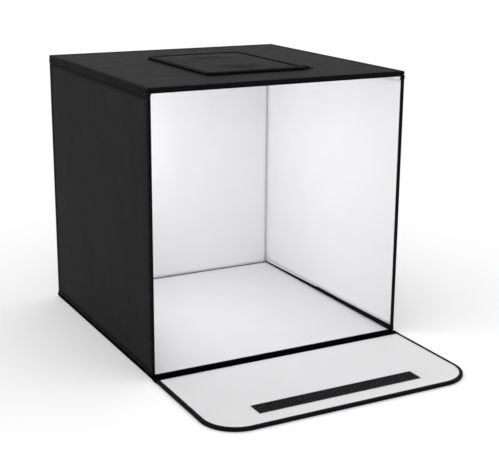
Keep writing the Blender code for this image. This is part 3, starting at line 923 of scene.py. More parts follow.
def flutter(along: Array, seed: int) -> Array:
    """The small in and out of a sewn tape's free edge: three sines of the length along it."""
    rng = np.random.default_rng(seed)
    waves = [(0.0072, 0.5), (0.0117, 0.35), (0.041, 0.6)]
    parts = [a * np.sin(2 * math.pi * along / w + rng.uniform(0, 6.3)) for w, a in waves]
    return FLUTTER * sum(parts)


def edge_ring(
    name: str,
    facing: Facing,
    outline: Outline,
    profile: Array,
    material: Material,
    seed: int,
) -> Piece:
    """A folded tape round an outline.

    For every row of the profile the outline is moved in by the row's inset plus its
    share of the flutter, and lifted to the row's height plus a fifth of that share.
    """
    wobble = flutter(lengths(outline.at(0.0)), seed)
    small, lift = 0.0001, 0.2
    rows = []
    for inset, height, free, _ in profile:
        line = outline.at(inset)
        inward = (outline.at(inset + small) - line) / small
        line = line + inward * (wobble * free)[:, None]
        rows.append(facing.place(*line.T, height + lift * wobble * free))
    return band_object(name, np.array(rows), material, profile[:, 3], outline.opening is None)


def edge_run(
    name: str,
    facing: Facing,
    edge: float,
    inward: int,
    run: Array,
    profile: Array,
    material: Material,
    seed: int,
    upright: bool,
) -> Piece:
    """A folded tape along one straight edge, its free edges lifted by 0.4 of their flutter.

    Args:
        name: The piece's name.
        facing: The panel's directions.
        edge: The edge's own p, or its q for a level one.
        inward: The sign of the way into the panel.
        run: Places along the edge.
        profile: The tape's section.
        material: The finish.
        seed: Seed of the free edge's flutter.
        upright: Whether the edge runs along q.

    Returns:
        The object.
    """
    wobble = flutter(run, seed)
    inset = profile[:, :1] + profile[:, 2:3] * wobble
    height = profile[:, 1:2] + 0.4 * profile[:, 2:3] * wobble
    side, path = edge + inward * inset, np.broadcast_to(run, inset.shape)
    p, q = (side, path) if upright else (path, side)
    return band_object(name, facing.place(p, q, height), material, profile[:, 3])


def stitch_object(
    name: str, lines: list[tuple[Array, Array]], material: Material, pitch: float = 0.0034
) -> Piece:
    """Lines of lockstitch: every stitch is a short spindle that dips into the cloth at both ends.

    A spindle's radius is the thread's times the root of one less the square of the
    place along it, and its middle stands over the cloth by half that radius.

    Args:
        name: The piece's name.
        lines: Pairs of a line's points and the direction that leaves the cloth.
        material: The thread's finish.
        pitch: Length from stitch to stitch.

    Returns:
        One object with all the stitches.
    """
    long, thick, sides = pitch * 0.74, 0.00024, 5
    share = np.array([-0.96, -0.5, 0.5, 0.96])
    swell = thick * np.sqrt(1 - share**2)
    angle = np.linspace(0, 2 * math.pi, sides, endpoint=False)
    starts, ends, outs = [], [], []
    for points, out in lines:
        along = lengths(points)
        middles = np.arange(pitch / 2, along[-1], pitch)
        for way, found in ((-1, starts), (1, ends)):
            tips = middles + way * long / 2
            found.append(np.stack([np.interp(tips, along, points[:, i]) for i in range(3)], 1))
        outs.append(np.broadcast_to(out, starts[-1].shape))
    start, end, out = (np.concatenate(x) for x in (starts, ends, outs))
    run = end - start
    across = np.cross(out, run)
    across /= np.linalg.norm(across, axis=1, keepdims=True)
    place = start[:, None] + run[:, None] * ((share + 1) / 2)[None, :, None]
    place = place + out[:, None] * (thick * 0.5 * (1 - share**2))[None, :, None]
    ring = (
        place[:, :, None]
        + out[:, None, None] * (swell[:, None] * np.cos(angle))[None, :, :, None]
        + across[:, None, None] * (swell[:, None] * np.sin(angle))[None, :, :, None]
    )
    count, rows = len(start), len(share)
    sides_faces, _ = grid_faces(rows, sides, False, True)
    caps = [list(range(sides))[::-1], list(range((rows - 1) * sides, rows * sides))]
    shift = (np.arange(count) * rows * sides)[:, None, None]
    quads = (sides_faces[None] + shift).reshape(-1, 4)
    a, b, d = (ring.reshape(-1, 3)[quads[0, i]] for i in (0, 1, 3))
    if np.cross(b - a, d - a) @ (a - place[0, 0]) < 0:
        quads, caps = quads[:, ::-1], [cap[::-1] for cap in caps]
    ends_faces = (np.array(caps)[None] + shift).reshape(-1, sides)
    faces = quads.tolist() + ends_faces.tolist()
    return make_object(name, ring.reshape(-1, 3), faces, None, material)


def attach(piece: Piece, body: str, slot: Slot, *nodes: str) -> Piece:
    """Let a piece ride on a body and hide the nodes that it stands for."""
    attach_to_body(piece, body)
    return stand_for(piece, slot, *nodes)


def stand_for(piece: Piece, slot: Slot, *nodes: str) -> Piece:
    """Hide the nodes that a piece replaces, and return the piece."""
    if nodes:
        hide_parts(*nodes)
    return piece


def dress_node(node: str, material: Material) -> None:
    """Give one CAD node its finish."""
    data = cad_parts[node].data
    data.materials.clear()
    data.materials.append(material)
    LOG.info("%s: finished with %s", node, material.name)


# The tent's parts


@dataclass
class Cloths:
    """Sizes that all the panels share.

    Attributes:
        panel: Thickness of a panel.
        cloth: Thickness of its cloths.
        under: How far a cloth runs on under the tape.
        flange: Width of the tape on the outer face.
        inner: Width of the tape on the lining side.
        step: Largest spacing of a grid's rows.
        stitch_inset: Distance of the stitches from the tape's free edge.
    """

    panel: float = 0.005
    cloth: float = 0.0005
    under: float = 0.0022
    flange: float = 0.008
    inner: float = 0.003
    step: float = 0.006
    stitch_inset: float = 0.0016


@dataclass
class Panel(Cloths):
    """A panel with directions of its own, dressed in a cloth on each face.

    Attributes:
        outer_level: Resting height of the outer cloth over the outer face.
        lining_sunk: How far the lining rests inside the other face.
        relief_inset: How far inside a cloth's edges its relief starts.
        facing: The panel's directions.
    """

    outer_level: float = -0.00015
    lining_sunk: float = 0.0002
    relief_inset: float = 0.002
    facing: Facing = Facing()

    def lay(
        self,
        name: str,
        grid: tuple[Array, Array],
        level: float,
        shown: int,
        relief: Relief,
        finish: Material,
        wrap: bool = False,
    ) -> Piece:
        """A cloth over its board.

        Args:
            name: Its name.
            grid: Its places along and up the panel.
            level: Its resting height over the outer face.
            shown: 1 for the outer cloth and -1 for the lining.
            relief: What it rises over its level, towards the shown side.
            finish: Its material.
            wrap: Whether the grid's columns come back to the first one.

        Returns:
            The cloth.
        """
        points = self.facing.place(*grid, level + shown * relief.at(*grid))
        out = np.array(self.facing.out) * shown
        return sheet_object(name, points, np.stack(grid, -1), out, self.cloth, finish, wrap)


def cloth_part(shown: int) -> tuple[Slot, str]:
    """The slot of an outer cloth (1) or a lining (-1), and the last word of its nodes."""
    return (Slot.OUTER, "cover") if shown > 0 else (Slot.LINING, "lining")


def black_seam_and_shade_height(y: Array) -> Array:
    """Height of black that shows over the floor along a wall's foot: the black gusset, plus painted
    shade of the gap under the wall that widens to the front.

    It runs in a straight line from its rear height to its front height.
    """
    low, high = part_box("floor_binding")
    front_height, rear_height = 0.0080, 0.0014
    return rear_height + (front_height - rear_height) * (high.y - y) / (high.y - low.y)


@dataclass
class SideWall(Panel):
    """A side wall: one outer cloth and one lining over two boards, with a hidden crease."""

    side: Side = Side.LEFT
    crease_reach: float = 0.0025
    hem: float = 0.0025
    hem_under: float = 0.001
    rear_inner: float = 0.0012
    rear_fold: float = 0.0004
    rear_gap: float = 0.0002
    sunk: float = 0.0001
    proud: float = 0.00012
    lining_gap: Pair = (0.0004, 0.0003)
    foot_reach: float = 0.030
    inner_stitch_inset: float = 0.001
    welt_radius: float = 0.00045
    welt_inset: float = 0.0008

    def __post_init__(self) -> None:
        """Read the wall's place from its solids."""
        lower, upper = (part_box(f"{self.side.word}_{half}_binding") for half in ("lower", "upper"))
        self.y0, self.y1 = lower[0].y, lower[1].y
        self.z0, self.z1 = lower[0].z, upper[1].z
        self.crease = (lower[1].z + upper[0].z) / 2
        sign = self.side.value
        self.x = lower[0].x if sign < 0 else lower[1].x
        self.facing = Facing((self.x, 0, 0), (0, 1, 0), (0, 0, 1), (sign, 0, 0))
        self.bodies = (f"{self.side.word}_lower", f"{self.side.word}_upper")

    def over_crease(self, piece: Piece, slot: Slot, *nodes: str) -> Piece:
        """Bake the piece's place into its mesh, and hide the nodes that it stands for.
        """
        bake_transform(piece)
        return stand_for(piece, slot, *nodes)

    def heights(self, low: float, high: float) -> Array:
        """Rows up the wall, close together round the crease."""
        return stations(low, high, self.step, self.crease, self.crease_reach)

    def cloth_sheet(
        self, word: str, y: Pair, z: Pair, level: float, shown: int, finish: Material
    ) -> None:
        """One cloth of the wall over its whole height.

        Args:
            word: The last word of its name.
            y: Its front and rear edge.
            z: Its lower and upper edge.
            level: Its height over the outer face.
            shown: 1 for the outer cloth and -1 for the lining.
            finish: Its material.
        """
        p, q = np.meshgrid(stations(*y, self.step), self.heights(*z))
        seed = (3 if self.side is Side.LEFT else 5) + (shown > 0)
        calm = {}
        if shown < 0:
            calm = {"sink": 0.0005, "reach": 0.0045, "wave": 0.00004, "sewn": "left"}
            # The lining's foot is lifted so that the black seam, with its painted gap shade, shows
            # over the floor.
            lift = np.clip(black_seam_and_shade_height(p) - (self.z0 - self.panel), 0, self.hem)
            q = q + lift * (1 - smooth((q - self.z0) / self.foot_reach))
        corners = shrunk((y[0], z[0]), (y[1], z[1]), self.relief_inset)
        name = f"{self.side.word}_wall_{word}"
        piece = self.lay(name, (p, q), level, shown, Relief(*corners, seed, **calm), finish)
        slot, node = cloth_part(shown)
        self.over_crease(piece, slot, *(f"{body}_{node}" for body in self.bodies))

    def build(self, finishes: Finishes) -> None:
        """Make the wall's cloths, tapes, stitching and welt."""
        under = self.under
        y = (self.y0 + self.flange - under, self.y1 - self.flange + under)
        z = (self.z0 + self.hem - under / 2, self.z1 - self.hem + under / 2)
        self.cloth_sheet("outer_cloth", y, z, self.outer_level, 1, finishes.cloth)
        behind, beside = self.lining_gap
        y = (self.y0 + self.inner - under, self.y1 - behind)
        z = (self.z0 + beside, self.z1 - beside)
        self.cloth_sheet("inner_cloth", y, z, -self.panel - self.proud, -1, finishes.lining)
        run = self.heights(self.z0, self.z1)
        self.tapes(finishes, run)
        self.stitching(finishes, run)
        welt = self.corner_welt(run[2:-2], finishes.lining)
        self.over_crease(welt, Slot.LINING)
        for body in self.bodies:
            dress_node(f"{body}_board", finishes.board)

    def tapes(self, finishes: Finishes, run: Array) -> None:
        """The tapes of the upright edges, and the narrow hems at foot and head."""
        word = self.side.word
        front = c_profile(self.flange, self.inner, self.panel)
        depth = self.panel - self.sunk
        rear = c_profile(self.flange, self.rear_inner, depth, fold=self.rear_fold)
        seed = 11 + 4 * self.side.value
        tapes = (("front", self.y0, 1, front), ("rear", self.y1 - self.rear_gap, -1, rear))
        for i, (end, *place, profile) in enumerate(tapes):
            name = f"{word}_wall_{end}_tape"
            piece = edge_run(name, self.facing, *place, run, profile, finishes.tape, seed + i, True)
            nodes = [f"{body}_binding" for body in self.bodies] if end == "front" else []
            self.over_crease(piece, Slot.BINDING, *nodes)

        ends = (self.y0 + self.flange - self.hem_under, self.y1 - self.flange + self.hem_under)
        level, depth = stations(*ends, self.step), self.panel - 2 * self.sunk
        hem = c_profile(self.hem, self.hem, depth, cloth=0.0004, corner=0.0009)
        hem[:, 1] -= self.sunk
        hems = (("foot", self.z0, 1), ("head", self.z1, -1))
        for body, (end, *place) in zip(self.bodies, hems):
            name = f"{word}_wall_{end}_hem"
            piece = edge_run(name, self.facing, *place, level, hem, finishes.tape, seed + 7, False)
            attach(piece, body, Slot.BINDING)

    def stitching(self, finishes: Finishes, run: Array) -> None:
        """The rows of stitches: two on the outer face, and one on the lining at the front."""
        inset, inner = self.flange - self.stitch_inset, self.inner - self.inner_stitch_inset
        rows = (
            (self.y0 + inset, 0.0, 1),
            (self.y0 + inner, -self.panel, -1),
            (self.y1 - inset, 0.0, 1),
        )
        out = np.array(self.facing.out)
        lines = [(self.facing.place(p, run, h), out * way) for p, h, way in rows]
        name = f"{self.side.word}_wall_stitches"
        stitches = stitch_object(name, lines, finishes.thread)
        self.over_crease(stitches, Slot.BINDING)

    def corner_welt(self, run: Array, finish: Material) -> Piece:
        """The thin white welt down the wall's inner rear corner: a small circle carried up."""
        circle, _ = rounded_section(10, 1.0, (self.welt_radius, self.welt_radius))
        p, h = self.y1 - self.welt_inset + circle[:, :1], -self.panel + circle[:, 1:]
        name = f"{self.side.word}_wall_corner_welt"
        return band_object(name, self.facing.place(p, run, h), finish)


@dataclass
class Gusset(Cloths):
    """A low soft strip between a side wall and the floor or the top."""

    node: str = "floor_gusset_left"
    body: str = "floor"
    power: float = 0.38
    hollow: float = 0.0014
    fade: Pair = (0.004, 0.020)
    overlap: float = 0.0006
    lining_out: Pair = (0.0001, 0.00055)
    lining_cloth: float = 0.0004

    def build(self, finishes: Finishes) -> None:
        """Make the strip: a rounded box section, hollow on its outer side, carried along Y.

        The outer side moves in by the hollow, times one less the square of the height,
        and the hollow fades out towards both ends.
        """
        low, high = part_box(self.node)
        half = np.array([(high.x - low.x) / 2, (high.z - low.z) / 2])
        centre = np.array([(low.x + high.x) / 2, (low.z + high.z) / 2])
        section, turn = rounded_section(32, self.power, half - 0.00005)
        outer = np.sign(centre[0])
        share = np.where(section[:, 0] * outer > 0, 1 - (section[:, 1] / half[1]) ** 2, 0)
        hollow = (share * self.hollow)[:, None]
        run = stations(low.y + 0.0002, high.y, self.step)
        bulge = 1 - 0.03 * (1 + flutter(run, 31) / FLUTTER)
        still, rising = self.fade
        ends = smooth((np.minimum(run - low.y, high.y - run) - still) / rising)
        x = centre[0] + section[:, :1] * bulge - outer * hollow * ends
        points = joined(x, run, centre[1] + section[:, 1:])
        # Rubbing and painted highlight, most at the section's rounded corners.
        wear_and_highlight = 0.25 + 0.6 * np.abs(turn[:, 0] * turn[:, 1])
        piece = band_object(f"{self.node}_tape", points, finishes.tape, wear_and_highlight)
        attach(piece, self.body, Slot.BINDING, self.node)
        self.lining(finishes, low, high)

    def lining(self, finishes: Finishes, low: Vector, high: Vector) -> None:
        """The white strip on the inner face. It hides more of the black one towards the rear, so
        that the black widens to the front as painted shade of the gap.
        """
        left = low.x < 0
        inner_x = high.x if left else low.x
        on_floor = self.body == "floor"
        run = stations(low.y + self.inner + 0.0012, high.y, self.step)
        if on_floor:
            run = run[black_seam_and_shade_height(run) < high.z - low.z - self.overlap]
        # Its lower edge follows the black seam with its painted gap shade.
        start = low.z + black_seam_and_shade_height(run) if on_floor else high.z - 0.0002 + 0 * run
        end = high.z + self.overlap if on_floor else low.z - self.overlap
        t = np.linspace(0, 1, 6)[:, None]
        z = start + (end - start) * t
        least, more = self.lining_out
        proud = least + more * smooth(t * 1.1)
        out = 1.0 if left else -1.0
        points = joined(inner_x + out * proud, run, z)
        name, inward, thick = f"{self.node}_lining", np.array((out, 0, 0)), self.lining_cloth
        piece = sheet_object(name, points, points[..., 1:], inward, thick, finishes.lining)
        attach(piece, self.body, Slot.LINING)


@dataclass
class FlatPanel(Panel):
    """A bound panel in one piece: two cloths, a ring of tape and its stitching."""

    name: str = "floor"
    corner: float = 0.0020
    outer_level: float = -0.00025
    stitch_level: float = -0.00032
    stitched_inner: float = 0.004
    lining_out: float = 0.0
    lining_edge: float = 0.0001
    fold: float | None = None
    bead_radius: float = 0.0003
    bead_out: float = 0.0002
    # Whether the edge tape is the darker copy, with painted shade.
    shaded_tape: bool = False
    seed: int = 40

    def __post_init__(self) -> None:
        """Read the panel's corners, along its own directions, from its solids."""
        ways = np.array((self.facing.along, self.facing.up))
        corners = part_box(f"{self.name}_binding")
        self.low, self.high = (tuple((ways @ corner).tolist()) for corner in corners)

    def outline(self, opening: Opening | None = None) -> Outline:
        """The panel's edge."""
        return Outline(self.low, self.high, self.corner, (90, 90, 6), opening)

    def cloth_sheet(
        self, word: str, inset: float, level: float, shown: int, finish: Material
    ) -> None:
        """One cloth over the board, tucked under the tape all round."""
        low, high = shrunk(self.low, self.high, inset)
        grid = np.meshgrid(*(stations(*ends, self.step) for ends in zip(low, high)))
        calm = {}
        if self.lining_out > 0 and shown > 0:
            calm = {"wave": 0.00005, "pucker": 0.00005}
        elif self.lining_out > 0:
            calm = {"wave": 0.00004, "sewn": ""}
        relief = Relief(*shrunk(low, high, self.relief_inset), self.seed + shown, **calm)
        piece = self.lay(f"{self.name}_{word}", grid, level, shown, relief, finish)
        slot, node = cloth_part(shown)
        attach(piece, self.name, slot, f"{self.name}_{node}")

    def tape(self, finishes: Finishes, rows: list[tuple[float, float, int]]) -> None:
        """The ring of tape, and rows of stitches given as inset, height and side."""
        profile = c_profile(self.flange, self.inner, self.panel, fold=self.fold)
        outline = self.outline()
        # The darker copy paints shade onto the low floor tape.
        finish = finishes.seam_tape if self.shaded_tape else finishes.tape
        ring = edge_ring(f"{self.name}_edge_tape", self.facing, outline, profile, finish, self.seed)
        attach(ring, self.name, Slot.BINDING, f"{self.name}_binding")
        lines = []
        for inset, height, out in rows:
            points = self.facing.place(*outline.seam(inset).T, height)
            lines.append((points, np.array(self.facing.out) * out))
        stitches = stitch_object(f"{self.name}_stitches", lines, finishes.thread)
        attach(stitches, self.name, Slot.BINDING)

    def build(self, finishes: Finishes) -> None:
        """Make the panel's cloths, tape and stitching."""
        tucked = self.flange - self.under
        self.cloth_sheet("outer_cloth", tucked, self.outer_level, 1, finishes.cloth)
        inset, level = self.inner - self.under, -self.panel + self.lining_sunk
        if self.lining_out > 0:
            inset, level = self.lining_edge, -self.panel - self.lining_out
        self.cloth_sheet("inner_cloth", inset, level, -1, finishes.lining)
        rows = [(self.flange - self.stitch_inset, self.stitch_level, 1)]
        if self.inner > self.stitched_inner:
            rows.append((self.inner - self.stitch_inset, -self.panel, -1))
        self.tape(finishes, rows)
        if self.lining_out > 0:
            self.bead(finishes)
        dress_node(f"{self.name}_board", finishes.board)

    def bead(self, finishes: Finishes) -> None:
        """The tape's thin bead: a small circle carried up one side, across and down the other."""
        radius = self.bead_radius
        circle, _ = rounded_section(8, 1.0, (radius, radius))
        profile = np.zeros((len(circle), 4))
        profile[:, :2] = circle + (-self.bead_out, radius - self.panel)
        name, line = f"{self.name}_edge_bead", self.outline(Opening.FRONT)
        piece = edge_ring(name, self.facing, line, profile, finishes.tape, self.seed)
        attach(piece, self.name, Slot.BINDING)


@dataclass
class TopPanel(FlatPanel):
    """The top panel, with the bound window in it."""

    outer_level: float = -0.00015
    window_flange: float = 0.005
    window_corner: float = 0.006
    lip_drop: float = 0.0026
    lip_tuck: float = 0.0003
    lip_half: float = 0.0007

    def __post_init__(self) -> None:
        """Read the panel's and the window's corners from their solids."""
        super().__post_init__()
        low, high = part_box("window_binding")
        self.hole_low, self.hole_high = shrunk(low[:2], high[:2], self.window_flange)

    def ring_sheet(
        self,
        word: str,
        inset: float,
        hole: float,
        level: float,
        shown: int,
        finish: Material,
    ) -> None:
        """A cloth round the window.

        Its rows run in equal steps from the window's outline to the panel's, so each
        point is the share-weighted mean of two outlines.

        Args:
            word: The last words of its name.
            inset: How far it stays inside the panel's edge.
            hole: How far it stays outside the window's edge.
            level: Its height over the outer face.
            shown: 1 for the outer cloth and -1 for the lining.
            finish: Its material.
        """
        counts = (72, 72, 4)
        outer = Outline(self.low, self.high, 0.0005, counts).at(inset)
        inner = Outline(self.hole_low, self.hole_high, self.window_corner, counts).at(-hole)
        share = np.linspace(0, 1, 26)[:, None, None]
        grid = inner * (1 - share) + outer * share
        corners = shrunk(self.low, self.high, inset + self.relief_inset)
        relief = Relief(*corners, self.seed + shown)
        places = (grid[..., 0], grid[..., 1])
        piece = self.lay(f"top_{word}", places, level, shown, relief, finish, wrap=True)
        slot, node = cloth_part(shown)
        attach(piece, "top", slot, f"top_{node}")

    def build(self, finishes: Finishes) -> None:
        """Make the top's cloths, both tapes and their stitching."""
        inset, hole = self.flange - self.under, self.window_flange - self.under
        self.ring_sheet("outer_cloth", inset, hole, self.outer_level, 1, finishes.cloth)
        inset, level = self.inner - self.under, -self.panel + self.lining_sunk
        self.ring_sheet("inner_cloth", inset, inset, level, -1, finishes.lining)
        self.tape(finishes, [(self.flange - self.stitch_inset, 0.0, 1)])
        self.front_lip(finishes)
        window = Outline(self.hole_low, self.hole_high, self.window_corner, (60, 80, 8))
        profile = c_profile(self.window_flange, self.inner, self.panel, corner=0.0012)
        profile[:, 0] *= -1
        name, seed = "window_edge_tape", self.seed + 3
        ring = edge_ring(name, self.facing, window, profile, finishes.tape, seed)
        attach(ring, "top", Slot.BINDING, "window_binding")
        dress_node("top_board", finishes.board)

    def front_lip(self, finishes: Finishes) -> None:
        """The front tape's lip: a thin loop under the band, carried from wall to wall."""
        low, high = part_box("top_binding")
        reach, drop, tuck, half = self.panel * 0.7, self.lip_drop, self.lip_tuck, self.lip_half
        section, _ = rounded_section(16, 0.5, (half, drop / 2 + tuck))
        run = stations(low.x + reach, high.x - reach, self.step)
        y = low.y + half + section[:, :1] + 0.3 * (flutter(run, 57) - 0.0001)
        points = joined(run, y, low.z - drop / 2 + tuck + section[:, 1:])
        # Plain rubbing and painted highlight all round.
        wear_and_highlight = np.full(len(section), PLAIN_WEAR_AND_HIGHLIGHT)
        piece = band_object("top_front_lip", points, finishes.tape, wear_and_highlight)
        attach(piece, "top", Slot.BINDING)


@dataclass
class Flap(FlatPanel):
    """The front flap with round front corners, its spine and its hook strip."""

    round_corner: float = 0.050
    spine_dip: float = 0.0005
    hook_cloth: float = 0.0009
    hook_drop: float = 0.0003
    hook_stitch_inset: float = 0.0016

    def outline(self, opening: Opening | None = Opening.REAR) -> Outline:
        """The flap's three bound sides; the rear one goes on into the spine."""
        return Outline(self.low, self.high, self.round_corner, (90, 44, 20), opening)

    def cloth_sheet(
        self, word: str, inset: float, level: float, shown: int, finish: Material
    ) -> None:
        """One cloth of the flap.

        Each row is as wide as the rounded outline is there: half the width, less the
        corner radius, plus the root of the radius squared less the distance squared.
        """
        radius = self.round_corner - inset
        front, rear = self.low[1] + inset, self.high[1]
        rows = front + (1 - np.cos(np.linspace(0, math.pi / 2, 16))) * radius
        rows = np.unique(np.concatenate([rows, stations(front + radius, rear, self.step)]))
        drop = np.clip(front + radius - rows, 0, radius)
        half = (self.high[0] - self.low[0]) / 2 - inset - radius + np.sqrt(radius**2 - drop**2)
        q, p = np.meshgrid(rows, np.linspace(-1, 1, 68), indexing="ij")
        p = p * half[:, None]
        margin = self.relief_inset
        low = (self.low[0] + inset + margin, front + margin)
        high = (self.high[0] - inset - margin, rear)
        relief = Relief(low, high, 61 + shown)
        piece = self.lay(f"flap_{word}", (p, q), level, shown, relief, finish)
        slot, node = cloth_part(shown)
        attach(piece, "flap", slot, f"flap_{node}")

    def build(self, finishes: Finishes) -> None:
        """Make the flap, its spine and its hook strip."""
        super().build(finishes)
        self.spine(finishes)
        self.hooks(finishes)

    def spine(self, finishes: Finishes) -> None:
        """The soft spine: a flat rounded section that dips in its middle, carried along X."""
        low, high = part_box("flap_spine")
        half = np.array([(high.y - low.y) / 2, (high.z - low.z) / 2])
        section, _ = rounded_section(44, 0.3, half)
        middle = np.cos(np.clip(section[:, 0] / half[0], -1, 1) * math.pi / 2) ** 2
        section[:, 1] -= np.where(section[:, 1] > 0, self.spine_dip * middle, 0)
        run = stations(low.x, high.x, self.step)
        y, z = (low.y + high.y) / 2 + section[:, :1], (low.z + high.z) / 2 + section[:, 1:]
        # Plain rubbing and painted highlight all round.
        wear_and_highlight = np.full(len(section), PLAIN_WEAR_AND_HIGHLIGHT)
        # The spine takes the darker tape copy, with painted shade.
        piece = band_object("flap_spine_tape", joined(run, y, z), finishes.seam_tape, wear_and_highlight)
        attach(piece, "flap", Slot.OUTER, "flap_spine")

    def hooks(self, finishes: Finishes) -> None:
        """The hook strip: a thin sewn tape, its face a grid that rounds off at its edge."""
        low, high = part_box("flap_hook_strip")
        p, q = np.meshgrid(stations(low.x, high.x, 0.003), stations(low.y, high.y, 0.0015))
        edge = rim_distance(p, q, low, high)
        points = self.facing.place(p, q, -high.z + self.hook_drop * smooth(1 - edge / 0.0012))
        uv = np.stack([p, q], -1)
        piece = sheet_object("flap_hooks", points, uv, UP, self.hook_cloth, finishes.fastener)
        attach(piece, "flap", Slot.HOOK, "flap_hook_strip")
        line = Outline(low[:2], high[:2], 0.002, (80, 10, 4)).seam(self.hook_stitch_inset)
        lines = [(self.facing.place(*line.T, -high.z), UP)]
        stitches = stitch_object("flap_hook_stitches", lines, finishes.thread, 0.0026)
        attach(stitches, "flap", Slot.BINDING)


@dataclass
class WindowCover(Cloths):
    """The padded cover over the top window, its bound edge, fasteners and cloth hinge."""

    corner: float = 0.010
    edge_flange: float = 0.009
    edge_corner: float = 0.0022
    edge_puff: float = 0.0007
    clear: float = 0.0002
    pad_grow: float = 0.0012
    spacing: float = 0.003
    crown: float = 0.0017
    least_rise: float = -0.0004
    most_rise: float = 0.0016
    frames: int = 20
    strip_width: float = 0.008
    strip_corner: float = 0.0077
    hinge_cloth: float = 0.0006
    hinge_reach: Pair = (0.0015, 0.0008)
    hinge_over: float = 0.0009
    hinge_seam: float = 0.003
    lining_inset: float = 0.0012
    lining_cloth: float = 0.0004

    def __post_init__(self) -> None:
        """Read the cover's place from its solids."""
        self.low, self.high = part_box("window_cover_binding")
        self.outline = Outline(self.low[:2], self.high[:2], self.corner, (56, 74, 14))

    def edge_profile(self) -> Array:
        """The bound edge's section: a soft flange, a full quarter round and a short web."""
        depth, flange, corner = self.high.z - self.low.z, self.edge_flange, self.edge_corner
        t = np.linspace(0, 1, 7)[:, None]
        height = self.edge_puff * np.sin(math.pi * t) ** 0.8 - 0.0004 * (1 - t)
        # The last column is rubbing and painted highlight, most round the quarter.
        top = np.hstack([flange + (corner - flange) * t, height, 1 - t, 0.3 + 0 * t])
        quarter = np.linspace(0, math.pi / 2, 7)[1:]
        inset, height = corner * (1 - np.sin(quarter)), corner * (np.cos(quarter) - 1)
        bend = folded(inset, height, quarter, 0.8)
        rest = np.array(
            [
                (0.0002, -depth + 0.0004, 0, 0.2),
                (0.0006, -depth, 0, 0),
                (0.0014, -depth, 0, 0),
                (0.0018, -depth + 0.0004, 0, 0),
                (0.0020, -0.0012, 0, 0),
                (corner, -0.0009, 0, 0),
                (flange, -0.0009, 1, 0),
            ]
        )
        return np.concatenate([top, bend, rest])

    def settled_heights(self, p: Array, q: Array, rise: Array) -> Array:
        """Heights of the pad's top after its cloth has settled.

        A sheet a little larger than its seam is held at its rim and blown up from
        below. No point may move from the crown by more than the least and most rise.

        Args:
            p: Places along X.
            q: Places along Y.
            rise: The smooth crown that it starts from.

        Returns:
            The settled heights.
        """
        points = np.stack([p, q, rise], -1)
        faces, _ = grid_faces(*p.shape, False, False)
        mesh = bpy.data.meshes.new("pad_in_the_making")
        mesh.from_pydata(points.reshape(-1, 3).tolist(), [], faces.tolist())
        sheet = bpy.data.objects.new("pad_in_the_making", mesh)
        bpy.context.scene.collection.objects.link(sheet)
        numbers = np.arange(p.size).reshape(p.shape)
        rim = np.concatenate([numbers[0], numbers[-1], numbers[1:-1, 0], numbers[1:-1, -1]])
        held = sheet.vertex_groups.new(name="rim")
        held.add(rim.tolist(), 1.0, "REPLACE")
        settle = sheet.modifiers.new("settle", "CLOTH")
        cloth = settle.settings
        cloth.quality = 6
        cloth.mass = 0.15
        cloth.tension_stiffness = cloth.compression_stiffness = 25
        cloth.bending_stiffness = 0.08
        cloth.shrink_min = -0.010
        cloth.vertex_group_mass = "rim"
        cloth.use_pressure = True
        cloth.uniform_pressure_force = 1.2
        cloth.effector_weights.gravity = 0.0
        settle.collision_settings.use_collision = False
        settle.point_cache.frame_start, settle.point_cache.frame_end = 1, self.frames
        for number in range(1, self.frames + 1):
            bpy.context.scene.frame_set(number)
        graph = bpy.context.evaluated_depsgraph_get()
        solved = sheet.evaluated_get(graph).data
        found = np.empty(p.size * 3, np.float32)
        solved.vertices.foreach_get("co", found)
        bpy.context.scene.frame_set(1)
        bpy.data.objects.remove(sheet, do_unlink=True)
        settled = found.reshape(*p.shape, 3)[..., 2]
        return np.clip(settled, rise + self.least_rise, rise + self.most_rise)

    def pad(self, finishes: Finishes) -> None:
        """The padded middle: a crowned top and a flat underside that meet at the rim."""
        low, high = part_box("window_cover_shell")
        start, end = shrunk(low[:2], high[:2], -self.pad_grow)
        places = (stations(*ends, self.spacing) for ends in zip(start, end))
        p, q = np.meshgrid(*places, indexing="ij")
        u, v = ((w - w.min()) / (w.max() - w.min()) * 2 - 1 for w in (p, q))
        crown = (1 - np.abs(u) ** 6) * (1 - np.abs(v) ** 6)
        base = low.z + self.clear
        rim_height = base + self.clear
        rise = rim_height + self.crown * crown * 0.8 + 0.0004 * (1 - u**2) * (1 - v**2)
        rise = self.settled_heights(p, q, rise)
        rim = rim_distance(p, q, start, end)
        rise = rim_height + (rise - rim_height) * smooth(rim / 0.004 + 0.05)
        rows, cols = p.shape
        top = np.stack([p, q, rise], -1).reshape(-1, 3)
        bottom = np.stack([p, q, np.full(p.shape, base)], -1).reshape(-1, 3)
        quads, _ = grid_faces(rows, cols, False, False)
        below = rows * cols
        numbers = np.arange(below).reshape(rows, cols)
        loop = [numbers[:-1, 0], numbers[-1, :-1], numbers[:0:-1, -1], numbers[0, :0:-1]]
        loop = np.concatenate(loop)
        after = np.roll(loop, -1)
        side = np.stack([loop, after, after + below, loop + below], 1)
        flat = np.concatenate([top, bottom])
        faces = outward(flat, np.concatenate([quads[:, ::-1], quads + below, side]))
        uv = flat[faces.ravel(), :2]
        piece = make_object("window_pad", flat, faces.tolist(), uv, finishes.cloth)
        soften = piece.modifiers.new("soften", "SUBSURF")
        soften.levels = soften.render_levels = 1
        attach(piece, "window_cover", Slot.OUTER, "window_cover_shell")

